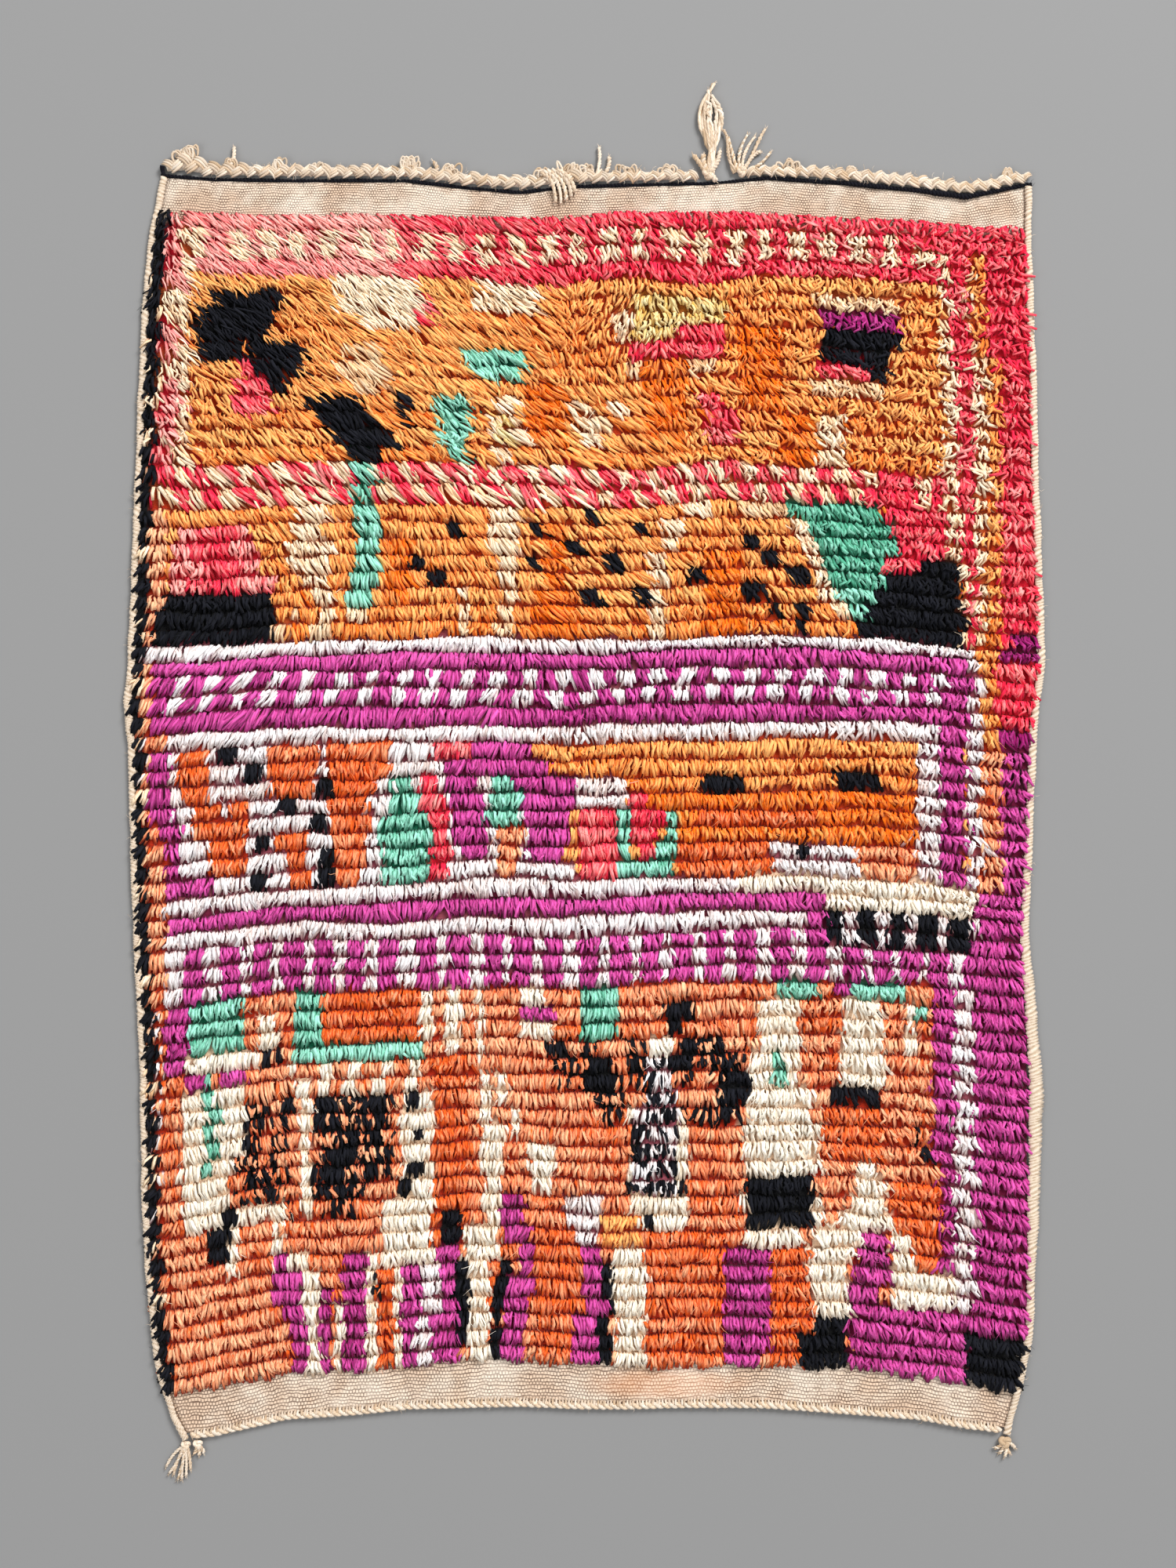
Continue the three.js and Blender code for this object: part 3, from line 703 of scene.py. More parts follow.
# %% Right border
# first row, last row, then the stripes from the field outwards: dye and first knot on even rows
RIGHT_BORDER = (
    (0, 7, (("ivory", 201), ("red", 204), ("ivory", 209), ("light", 210), ("red", 213))),
    (8, 16, (("ivory", 202), ("red", 206), ("ivory", 210), ("light", 214), ("red", 217))),
    (17, 19, (("ivory", 203), ("red", 207), ("ivory", 210), ("light", 213), ("red", 217))),
    (20, 24, (("ivory", 207), ("red", 209), ("ivory", 211), ("light", 213), ("red", 217))),
    (25, 25, (("cream", 207), ("light", 210), ("plum", 216))),
    (26, 29, (("purple", 204), ("cream", 209), ("light", 212), ("red", 216))),
    (30, 30, (("purple", 205), ("cream", 209), ("light", 213), ("plum", 216))),
    (31, 38, (("cream", 208), ("coral", 212), ("purple", 217))),
    (39, 42, (("purple", 210),)),
    (43, 44, (("cream", 204), ("purple", 208))),
    (45, 62, (("cream", 205), ("purple", 210))),
    (63, 63, (("purple", 205),)),
    (64, 66, (("black", 208),)),
)
for first, last, stripes in RIGHT_BORDER:
    for row in range(first, last + 1):
        for dye, knot in stripes:
            tie(dye, (row,), knot + row % 2, LAST_KNOT)
tie("red", range(0, 2), 196, LAST_KNOT)
tie("plum", (24,), 220, LAST_KNOT)
print("dyes in the chart:", [DYE_NAMES[i] for i in np.unique(chart)])

# %% [markdown]
# ## A strand
# Every strand, cord and yarn is a soft tube. A flat grid of faces is rolled round a path until its
# two long edges meet, the edges are merged, and the open ends are filled. The grid keeps a map that
# runs around the tube and along it, which is just what a yarn's finish needs.

# %% Roll a grid into a tube
def frames_along(path):
    """Sideways and upward vectors at the points of one or more paths that are never quite upright."""
    ahead = np.gradient(path, axis=-2)
    ahead /= np.linalg.norm(ahead, axis=-1, keepdims=True)
    sideways = np.stack([ahead[..., 1], -ahead[..., 0], np.zeros(ahead.shape[:-1])], axis=-1)
    sideways /= np.linalg.norm(sideways, axis=-1, keepdims=True)
    return sideways, np.cross(ahead, sideways)


def directions(sides):
    """Angles of a tube's sides, all the way round and back to the first."""
    return np.linspace(-math.pi, math.pi, sides + 1)


def open_edges(shape):
    return [edge for edge in shape.edges if edge.is_boundary]


def rolled_tube(path, radii, sides):
    """A closed tube along a path, as a bmesh. radii is one number a point, or a row of one a side."""
    path = np.asarray(path, float)
    around = directions(sides)
    radii = np.asarray(radii, float)
    radii = np.repeat(radii[:, None], sides, axis=1) if radii.ndim == 1 else radii
    radii = np.hstack([radii, radii[:, :1]])
    sideways, upward = frames_along(path)
    places = (path[:, None] + radii[..., None] * (np.cos(around)[None, :, None] * sideways[:, None]
              + np.sin(around)[None, :, None] * upward[:, None])).reshape(-1, 3)
    tube = bmesh.new()
    strand_map = tube.loops.layers.uv.new("strand")
    bmesh.ops.create_grid(tube, x_segments=sides, y_segments=len(path) - 1, size=0.5, calc_uvs=True)
    tube.verts.ensure_lookup_table()
    for vertex, place in zip(tube.verts, places):
        vertex.co = place
    seam = [tube.verts[i] for i in range(len(places)) if i % (sides + 1) in (0, sides)]
    bmesh.ops.remove_doubles(tube, verts=seam, dist=1e-4)
    caps = bmesh.ops.holes_fill(tube, edges=open_edges(tube), sides=0)["faces"]
    bmesh.ops.recalc_face_normals(tube, faces=tube.faces)
    for cap in caps:
        for step, loop in enumerate(cap.loops):
            turn = 2 * math.pi * step / len(cap.loops)
            # a cap fills a small round at the far end of the map
            loop[strand_map].uv = (0.5 + 0.1 * math.cos(turn), 0.95 + 0.04 * math.sin(turn))
    return tube


# %% [markdown]
# Nearly forty thousand strands can't each be made by hand. One template is rolled from three faces round
# and three along, and an array of its copies is bent over the rows: each copy keeps the template's
# faces, and only its rings are placed anew. A ring is known by its height in the upright template.

# %% The template strand
TEMPLATE_SIDES = 3
TEMPLATE_RINGS = 4


class Template:
    """A short upright tube whose copies become strands: ring number, ring angle, faces and maps."""

    def __init__(self, sides, rings):
        # the path leans a little, because a tube's frame needs a sideways direction
        path = [(1e-6 * i, 0, i) for i in range(rings)]
        shape = rolled_tube(path, np.ones(rings), sides)
        shape.verts.ensure_lookup_table()
        strand_map = shape.loops.layers.uv["strand"]
        self.ring = np.array([round(v.co.z) for v in shape.verts])
        self.angle = np.array([math.atan2(v.co.x, v.co.y) for v in shape.verts])
        self.sizes = np.array([len(f.verts) for f in shape.faces])
        self.corners = np.array([l.vert.index for f in shape.faces for l in f.loops])
        self.map = np.array([l[strand_map].uv for f in shape.faces for l in f.loops])
        self.cap = np.repeat([len({round(v.co.z) for v in f.verts}) == 1 for f in shape.faces], self.sizes)
        shape.free()


tuft_template = Template(TEMPLATE_SIDES, TEMPLATE_RINGS)
hair_template = Template(3, 3)
print("faces in a strand:", len(tuft_template.sizes), "and in a stray fibre:", len(hair_template.sizes))

# %% [markdown]
# ## Lay the pile
# A strand grows from the upper side of its row, arches over a crest and comes down over the lower
# side. It is combed: at the upper left the wool is long and slants to the lower right, at the right
# it is curly and stands up, and lower down it falls straight. A short table holds the combing at a
# few places, and each strand takes the mean of the places near it.

# %% Combing of the pile
# place across, height up the rug, slant of the strands in degrees, reach in row depths, curl 0 to 1
COMBING = np.array([
    (-600, 930, 48, 1.18, 0.1), (-350, 930, 48, 1.18, 0.1), (-100, 930, 42, 1.08, 0.3),
    (150, 930, 30, 1.02, 0.5), (500, 930, 12, 0.98, 0.8), (-600, 800, 38, 1.05, 0.5),
    (-350, 790, 48, 1.35, 0.0), (-80, 800, 50, 1.2, 0.2), (30, 800, -25, 1.1, 0.3),
    (250, 780, 15, 1.02, 0.5), (600, 780, 0, 0.98, 1.0), (-600, 620, 35, 1.05, 0.4),
    (-300, 620, 45, 1.15, 0.2), (0, 600, 52, 1.12, 0.3), (300, 600, 30, 1.02, 0.6),
    (600, 600, 0, 0.98, 1.0), (-550, 500, 45, 1.15, 0.2), (0, 510, 40, 1.1, 0.3),
    (300, 500, 20, 1.05, 0.5), (-600, 380, 5, 1.02, 0.5), (-300, 370, 15, 1.1, 0.2),
    (0, 370, 38, 1.0, 0.4), (350, 360, 20, 1.0, 0.6), (650, 360, 0, 0.98, 0.9),
    (-600, 180, -32, 1.08, 0.2), (-250, 190, -15, 1.08, 0.3), (200, 180, 0, 1.02, 0.4),
    (600, 190, 5, 1.0, 0.7), (-600, 0, -5, 1.0, 0.4), (0, 0, 0, 1.0, 0.4),
    (550, 0, 5, 0.98, 0.8), (-600, -300, -6, 1.0, 0.4), (0, -300, 0, 1.0, 0.4),
    (550, -300, 5, 1.0, 0.7), (-600, -650, 6, 1.0, 0.4), (0, -650, 0, 1.0, 0.4),
    (600, -650, 8, 1.0, 0.8), (0, -900, 0, 1.0, 0.4), (600, -900, 6, 1.0, 0.7),
])


def combed(x, y):
    """Slant in radians, reach and curl at places on the rug."""
    away = (x[:, None] - COMBING[:, 0]) ** 2 + (y[:, None] - COMBING[:, 1]) ** 2
    weight = 1 / (away + 60.0 ** 2) ** 2
    weight /= weight.sum(axis=1, keepdims=True)
    slant, reach, curl = (weight @ COMBING[:, i] for i in (2, 3, 4))
    return np.radians(slant), reach, curl


# %% Settings of the strands
# layers of a row: distance between strands, and how much of the whole height a strand reaches
LAYERS = {"long": (5.1, 0.76), "short": (5.7, 1.0), "silk": (2.5, 1.0)}
# rows, and how shaggy the pile is there, from 0 for clear ridges to 1 for a coat of short tufts
SHAG_ROWS = (0, 14, 17, 24, 26, 66)
SHAG = (1.0, 0.9, 0.5, 0.3, 0.1, 0.0)
CREST = 19.0
GROUND_THICKNESS = 4.0
STRAND_THICKNESS = 3.3
SILK_THICKNESS = 1.5
# the black edge: its width, the share of cream yarn in it, and the rows where it is mostly cream
EDGE_ZONE = 20
STRAY_SHARE = 0.05
PALE_SHARE = 0.7
PALE_AT_EDGE = (11, 13, 19, 27, 33, 38, 43, 49, 54, 61)
EDGE_SLANT = math.radians(36)
# how far a strand at the edge may lie over the cord, and the longest that any strand may be
OVER_CORD = 9
LONGEST = 56
# strands at the ends of a run of one dye are lower, and clumps of them are higher than others
END_DROP = 0.14
LUMP_RISE = 0.09
# drifts of slant: size in radians and length in mm
DRIFTS = ((0.13, 21), (0.10, 8.3))
# the tips of shaggy strands and of curly ones hook aside, by this many mm
SHAG_HOOK = 3.2
CURL_HOOK = 2.0
OAT_REACH = 1.14
LAST_ROW_REACH = 0.9
SILK_REACH = 1.1
SILK_MIDDLE = (-470, 850)
SILK_SIZE = (330, 130)
chance = np.random.default_rng(SEED + 1)


# %% Soft patches, clumps and runs
def silkiness(x, y):
    """How long and fine the worn pile is: 1 in the upper left, where it lies like brushed hair."""
    aside, up = (x - SILK_MIDDLE[0]) / SILK_SIZE[0], (y - SILK_MIDDLE[1]) / SILK_SIZE[1]
    return np.exp(-aside ** 2 - up ** 2)


def patches(x, y):
    """Soft patches from about -1 to 1 over the rug."""
    return 0.5 * np.sin(x / 130 + 1.3) * np.sin(y / 110 + 0.4) + 0.5 * np.sin(x / 61 + y / 83)


def in_clumps(count, size):
    """A random number for each strand that is the same for a few neighbours."""
    return np.repeat(chance.normal(0, 1, count // size + 1), size)[:count]


def end_of_run(dyes):
    """How near each strand is to the end of its run of one dye: 0 in the middle, 1 at the ends."""
    starts = np.flatnonzero(np.r_[True, dyes[1:] != dyes[:-1]])
    lengths = np.diff(np.r_[starts, len(dyes)])
    index = np.arange(len(dyes)) - np.repeat(starts, lengths)
    whole = np.repeat(lengths, lengths)
    from_end = np.minimum(index, whole - 1 - index)
    return np.clip(1 - (from_end + 0.5) / 2.5, 0, 1)


# %% Places and dyes of the strands of a row
def places_along(row, pitch):
    """Places across the rug of a row's strands, spaced out between the two cords."""
    middle_y = row_line(row, 0)[0]
    left, right = float(inner_left(middle_y)), float(inner_right(middle_y))
    count = int((right - left) / pitch)
    x = left + (np.arange(count) + 0.5) * (right - left) / count + chance.normal(0, 0.6, count)
    y = row_line(row, x)
    left_slide, right_slide = (side(edge, y) - side(edge, middle_y) for edge in (LEFT_EDGE, RIGHT_EDGE))
    share = (x - left) / (right - left)
    return x + left_slide * (1 - share) + right_slide * share


def dyes_along(row, x, from_left, shag):
    """Dyes of a row's strands: the chart's, then the mixes strand by strand, then the black edge."""
    knots = (x - KNOT_ORIGIN) / KNOT + chance.normal(0, 0.35, len(x))
    columns = np.clip(np.round(knots).astype(int) - FIRST_KNOT, 0, chart.shape[1] - 1)
    dyes = chart[row, columns].copy()
    for mix, (first, second, share) in MIXES.items():
        drawn = np.where(chance.random(len(x)) < share, DYE_NAMES.index(first), DYE_NAMES.index(second))
        dyes = np.where(dyes == DYE_NAMES.index(mix), drawn, dyes)
    zigzag = 0.16 if row % 2 else -0.16
    at_edge = from_left < EDGE_ZONE * (0.94 + zigzag - 0.05 * shag)
    pale = chance.random(at_edge.sum()) < (PALE_SHARE if row in PALE_AT_EDGE else STRAY_SHARE)
    dyes[at_edge] = np.where(pale, DYE_NAMES.index("ivory"), DYE_NAMES.index("black"))
    return dyes


# %% Settings of the strands of a row
def strands_of_row(row, layer):
    """Places and settings of the strands of a row in one layer, as a dictionary of columns."""
    pitch, rise = LAYERS[layer]
    shag = float(np.interp(row, SHAG_ROWS, SHAG))
    x = places_along(row, pitch)
    count = len(x)
    upper = row_line(row, x)
    depth = upper - row_line(row + 1, x)
    from_left, from_right = x - inner_left(upper), inner_right(upper) - x
    dyes = dyes_along(row, x, from_left, shag)
    slant, reach, curl = combed(x, upper)
    silk = silkiness(x, upper)
    worn = 1 - silk

    # at both edges the strands lean out over the cords
    outward_left = np.clip(1 - from_left / (1.8 * EDGE_ZONE), 0, 1)
    outward_right = np.clip(1 - from_right / EDGE_ZONE, 0, 1)
    slant = slant * (1 - outward_left) - EDGE_SLANT * outward_left
    slant = slant * (1 - outward_right) + EDGE_SLANT * outward_right
    clump = in_clumps(count, 3)
    drift = sum(size * np.sin(x / length + wander[i, row]) for i, (size, length) in enumerate(DRIFTS))
    slant = slant + worn * (drift + 0.11 * clump) + chance.normal(0, 0.06 + 0.3 * curl ** 2, count)

    swell = 0.6 * np.sin(x / 13 + wander[2, row]) + 0.4 * np.sin(x / 33 + wander[1, row])
    lump = 1 + LUMP_RISE * (swell + 0.4 * in_clumps(count, 4))
    drop = 1 - END_DROP * end_of_run(dyes) ** 2
    reach = reach * depth * (0.04 + drop) * lump * chance.normal(1, 0.06, count)
    height = CREST * rise * drop * lump * chance.normal(0.93, 0.05, count)
    thick = chance.normal(STRAND_THICKNESS, 0.3, count) - 0.3 * shag - 0.8 * silk
    if layer == "long":
        low_tip = 0.30 + 0.15 * curl + 0.1 * shag
        root = upper - depth * chance.uniform(0.0, 0.06 + 0.2 * shag, count)
    else:
        nubs = np.clip(0.35 + 0.8 * curl + 0.5 * patches(x * 1.7, upper * 1.9), 0, 1)
        low_tip = 0.50 + 0.28 * nubs * worn
        root = upper - depth * chance.uniform(0.0, 0.08 + 0.3 * nubs + 0.45 * shag, count)
        reach = reach * (0.86 - 0.38 * nubs * worn - 0.12 * silk) * chance.normal(1, 0.08, count)
        thick = thick * (1.0 - 0.1 * curl)
    if layer == "silk":
        thick = chance.normal(SILK_THICKNESS, 0.2, count)
        reach = reach * SILK_REACH
        slant = slant + 0.22 * np.sin(x / 27 + upper / 19) + chance.normal(0, 0.12, count)
        root = upper - depth * chance.uniform(0.0, 0.8, count)
    if row == ROWS - 1:
        reach = reach * LAST_ROW_REACH

    # a strand that slants is longer, so that it still crosses its row, but stops on the edge cord
    reach = np.minimum(reach / np.maximum(np.cos(slant), 0.5), LONGEST)
    for room, aside in ((from_left, -np.sin(slant)), (from_right, np.sin(slant))):
        reach = np.where(aside > 0, np.minimum(reach, (room + OVER_CORD) / np.maximum(aside, 0.05)), reach)
    share = {"long": 1 - 0.6 * silk, "short": 1 - 0.25 * silk, "silk": silk}[layer]
    kept = chance.random(count) < share
    hook = (SHAG_HOOK * shag + CURL_HOOK * curl) * (1 - 0.5 * silk)
    hook = hook * (0.8 * in_clumps(count, 4) + 0.5 * chance.normal(0, 1, count))
    if layer != "silk":
        reach = reach * (1 - 0.12 * shag * worn)
    # the undyed yarn of the lower field was left longer, so it hides the lines between its rows
    reach = reach * np.where(dyes == DYE_NAMES.index("oat"), OAT_REACH, 1.0)
    settings = dict(x=x, root=root, hook=hook, slant=slant, reach=reach, height=height, curl=curl,
                    dye=dyes, clump=clump, row=np.full(count, row), thick=thick, low_tip=low_tip)
    return {name: values[kept] for name, values in settings.items()}


rows_of_strands = [strands_of_row(row, layer) for layer in LAYERS for row in range(ROWS)]
strands = {name: np.concatenate([part[name] for part in rows_of_strands]) for name in rows_of_strands[0]}
print("strands:", len(strands["x"]))

# %% [markdown]
# Four rings bend a copy of the template: its root between the warps, a shoulder, the crest and a
# blunt tip. A long strand comes down over the foot of its row, and a short one stops on top, so the
# ends stand as small nubs. The same way bends the stray fibres that a worn pile sheds over its rows.

# %% Bend copies of a template over the rows
# shares of a strand's reach, and sideways shares of its hook, at its root, shoulder, crest and tip
SHOULDER, TOP = 0.13, 0.52
HOOKED = np.array([0.0, -0.5, -0.6, 1.0])
STRAND_TAPER = np.array([0.75, 1.0, 1.05, 0.82])
SHOULDER_HEIGHT = 0.68
HAIR_LENGTHS = (10, 24)
HAIR_RADII = (0.42, 0.38, 0.2)


def bent_copies(template, path, radii):
    """Vertices of a copy of the template for each path: paths are strand, ring, xyz, in mm."""
    sideways, upward = frames_along(path)
    at = template.ring
    angle = template.angle + chance.uniform(0, 2 * math.pi, (len(path), 1))
    across, lift = np.sin(angle)[..., None], np.cos(angle)[..., None]
    return path[:, at] + (across * sideways[:, at] + lift * upward[:, at]) * radii[:, at, None]


def tuft_paths(table):
    """Ring places and radii of the strands in a table."""
    x, height, curl, thick = (table[name][:, None] for name in ("x", "height", "curl", "thick"))
    ahead = np.stack([np.sin(table["slant"]), -np.cos(table["slant"])], axis=1)
    along = np.hstack([0 * x, SHOULDER + 0 * x, TOP + 0 * x, 1.0 - 0.06 * curl]) * table["reach"][:, None]
    tip = table["low_tip"][:, None] * height
    heights = np.hstack([0 * x + GROUND_THICKNESS, SHOULDER_HEIGHT * height, height - thick, tip])
    sway = chance.normal(0, 0.8, (len(x), 4)) * (1 + 1.2 * curl + 1.5 * (thick < 2.4))
    sway += table["hook"][:, None] * HOOKED
    sway[:, 0] = 0
    places = [x + ahead[:, :1] * along + sway, table["root"][:, None] + ahead[:, 1:] * along, heights]
    return np.stack(places, axis=2), thick * STRAND_TAPER


def hair_paths(table):
    """Ring places and radii of stray fibres that start in the strands of a table."""
    count = len(table["x"])
    turn = table["slant"] + chance.normal(0, 0.8, count)
    ahead = np.stack([np.sin(turn), -np.cos(turn)], axis=1)
    along = np.array([0.0, 0.5, 1.0]) * chance.uniform(*HAIR_LENGTHS, count)[:, None]
    part_way = table["reach"] * 0.4
    start = np.stack([table["x"] + np.sin(table["slant"]) * part_way,
                      table["root"] - np.cos(table["slant"]) * part_way], axis=1)
    bow = chance.normal(0, 2.5, count)[:, None] * np.array([0.0, 1.0, 0.0])
    heights = table["height"][:, None] - 1.0 + np.array([-1.0, 1.2, -0.6])
    places = [start[:, :1] + ahead[:, :1] * along + bow, start[:, 1:] + ahead[:, 1:] * along + bow, heights]
    return np.stack(places, axis=2), np.repeat([HAIR_RADII], count, axis=0)


# %% Make a piece of the rug
def triangles_in(mesh):
    return sum(len(face.vertices) - 2 for face in mesh.polygons)


def new_piece(name, mesh, finish, node):
    """A smooth piece from a mesh, with its finish, that stands for a plain solid of the rug."""
    mesh.polygons.foreach_set("use_smooth", np.ones(len(mesh.polygons), bool))
    mesh.materials.append(finish)
    piece = placed(name, mesh)
    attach(piece, "root")
    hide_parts(node)
    print(name, "has", triangles_in(mesh), "triangles")
    return piece


# %% Join the copies into one mesh
def joined_copies(name, batches):
    """One mesh from batches of a template, its copies' vertices, their tints and their shades."""
    vertices, corners, sizes, strand_maps, bake_maps, tints, shades = [], [], [], [], [], [], []
    cells = sum(len(batch[1]) for batch in batches)
    grid = math.ceil(math.sqrt(cells))
    made, cell = 0, 0
    for template, places, tint, shade_of in batches:
        count, size = places.shape[:2]
        vertices.append(places.reshape(-1, 3))
        corners.append((template.corners[None] + made + size * np.arange(count)[:, None]).ravel())
        sizes.append(np.tile(template.sizes, count))
        strand_maps.append(np.tile(template.map, (count, 1)))
        # side faces fill the lower part of a cell of the bake map, and the two ends its top
        inside = template.map * np.where(template.cap[:, None], (0.9, 1.0), (0.9, 0.88)) + (0.05, 0.02)
        number = cell + np.arange(count)
        corner = np.stack([number % grid, number // grid], axis=1)
        bake_maps.append(((corner[:, None] + inside[None]) / grid).reshape(-1, 2))
        tints.append(np.repeat(tint, size))
        shades.append(np.repeat(shade_of, size))
        made += count * size
        cell += count
    mesh = bpy.data.meshes.new(name)
    vertices, corners, sizes = (np.concatenate(part) for part in (vertices, corners, sizes))
    mesh.vertices.add(len(vertices))
    mesh.vertices.foreach_set("co", ((vertices + SHIFT) * MM).ravel())
    mesh.loops.add(len(corners))
    mesh.loops.foreach_set("vertex_index", corners)
    mesh.polygons.add(len(sizes))
    mesh.polygons.foreach_set("loop_start", np.r_[0, np.cumsum(sizes)[:-1]])
    mesh.update(calc_edges=True)
    for label, maps in (("OFBake", bake_maps), ("strand", strand_maps)):
        mesh.uv_layers.new(name=label).data.foreach_set("uv", np.concatenate(maps).ravel())
    for label, values in (("tint", tints), ("shade", shades)):
        attribute = mesh.attributes.new(label, "FLOAT", "POINT")
        attribute.data.foreach_set("value", np.clip(np.concatenate(values), 0, 1))
    mesh.validate()
    return mesh


# %% [markdown]
# The pile becomes one piece for each yarn, and a yarn that fills more than one piece may hold is
# split by rows. Tint and shade vary from strand to strand, a little from row to row as a new ball
# of yarn is started, and in soft patches, as sun and washing leave them.

# %% The pile
MOST_STRANDS = 8600
HAIR_SHARE = 0.06
# how much the tint differs from row to row, from patch to patch and from strand to strand
ROW_TINT, PATCH_TINT, STRAND_TINT = 0.10, 0.16, 0.16
STRAND_SHADE = 0.20
row_tint = chance.normal(0, ROW_TINT, ROWS)
tint_of_dye = np.array([DYES[name][1] for name in DYE_NAMES])
yarn_of_dye = np.array([list(YARNS).index(DYES[name][0]) for name in DYE_NAMES])
for number, (yarn, (_, _, _, slot)) in enumerate(YARNS.items()):
    mine = np.flatnonzero(yarn_of_dye[strands["dye"]] == number)
    mine = mine[np.argsort(strands["row"][mine], kind="stable")]
    share_count = max(1, math.ceil(len(mine) / MOST_STRANDS))
    for part, chosen in enumerate(np.array_split(mine, share_count)):
        table = {name: values[chosen] for name, values in strands.items()}
        size = len(chosen)
        tint = tint_of_dye[table["dye"]] + row_tint[table["row"]]
        tint = tint + PATCH_TINT * patches(table["x"], table["root"]) + chance.normal(0, STRAND_TINT, size)
        shade_of = 0.5 + 0.08 * table["clump"] + chance.normal(0, STRAND_SHADE, size)
        stray = chance.random(size) < HAIR_SHARE
        strays = {name: values[stray] for name, values in table.items()}
        name = "pile_" + yarn + ("_" + str(part + 1) if share_count > 1 else "")
        batches = [
            (tuft_template, bent_copies(tuft_template, *tuft_paths(table)), tint, shade_of),
            (hair_template, bent_copies(hair_template, *hair_paths(strays)), tint[stray] * 0.5,
             np.full(stray.sum(), 0.9)),
        ]
        mesh = joined_copies(name, batches)
        new_piece(name, mesh, yarn_finish[yarn], "rug_body")

# %% [markdown]
# ## The ground
# The ground is the cloth that carries the knots: cotton and wool warps with wefts beaten hard over
# them. It shows as a strip of flatweave at each end, ribbed by its wefts every six millimetres at the
# foot and a little closer at the top. A grid of faces is fitted to the rug's edges, its height follows
# the ribs where the weave shows, and its rim is drawn down to the floor and closed.

# %% Flatweave: a shader group for wefts that pass over and under the warps
flatweave, given, gives = new_group(
    "flatweave",
    {"Threads": [0.0, 0.0, 0.0], "Wool": (0.8, 0.7, 0.55, 1.0), "Worn": (0.9, 0.8, 0.7, 1.0),
     "Shadow": (0.3, 0.2, 0.15, 1.0), "Patch Size": 9.0},
    {"Color": "Color", "Roughness": "Float", "Height": "Float"},
)
threads = put(flatweave, "ShaderNodeSeparateXYZ", {"Vector": given["Threads"]})
place = put(flatweave, "ShaderNodeTexCoord").outputs["Object"]
bend = put(flatweave, "ShaderNodeTexNoise", {"Vector": place, "Scale": 60.0, "Detail": 2.0})
swing = mapped(flatweave, bend.outputs["Fac"], 0.2, 0.8, -0.35, 0.35)
rib = math_node(flatweave, "ADD", threads.outputs["Y"], swing)
odd = math_node(flatweave, "MODULO", math_node(flatweave, "FLOOR", rib), 2.0)
warp = math_node(flatweave, "MULTIPLY_ADD", odd, 0.5, threads.outputs["X"])
from_warp = math_node(flatweave, "PINGPONG", warp, 0.5)
from_rib = math_node(flatweave, "PINGPONG", rib, 0.5)
between_ribs = mapped(flatweave, from_rib, 0.02, 0.26, 1.0, 0.0)
slit = mapped(flatweave, from_warp, 0.02, 0.26, 1.0, 0.0)
open_weave = mapped(flatweave, bend.outputs["Color"], 0.3, 0.7, 0.35, 1.0)
crossing = math_node(flatweave, "MULTIPLY", slit, open_weave)
gaps = math_node(flatweave, "MAXIMUM", math_node(flatweave, "MULTIPLY", crossing, 0.95),
                 math_node(flatweave, "MULTIPLY", between_ribs, 0.85))
patch = put(flatweave, "ShaderNodeTexNoise", {"Vector": place, "Scale": given["Patch Size"],
            "Detail": 4.0, "Roughness": 0.6})
cloth = blended(flatweave, mapped(flatweave, patch.outputs["Fac"], 0.35, 0.65), given["Wool"], given["Worn"])
speckle = put(flatweave, "ShaderNodeTexNoise", {"Vector": place, "Scale": 900.0, "Detail": 2.0})
fuzz = put(flatweave, "ShaderNodeHueSaturation", {"Color": cloth,
           "Value": mapped(flatweave, speckle.outputs["Fac"], 0.3, 0.7, 0.84, 1.12)})
# where the cloth is worn, its gaps are filled with fluff and show less
clear = mapped(flatweave, patch.outputs["Fac"], 0.42, 0.62, 1.0, 0.72)
shown = math_node(flatweave, "MULTIPLY", gaps, clear)
woven = blended(flatweave, shown, fuzz.outputs["Color"], given["Shadow"])
flatweave.links.new(woven, gives["Color"])
flatweave.links.new(mapped(flatweave, speckle.outputs["Fac"], 0.3, 0.7, 0.8, 0.95), gives["Roughness"])
flatweave.links.new(math_node(flatweave, "SUBTRACT", 1.0, gaps), gives["Height"])
print("group:", flatweave.name, len(flatweave.nodes), "nodes")

# %% Ground finish
STAIN_MIDDLE = (138, -1010)
STAIN_SIZE = (170, 34)
STAIN_STRENGTH = 0.26
WEAVE_RELIEF = 0.8


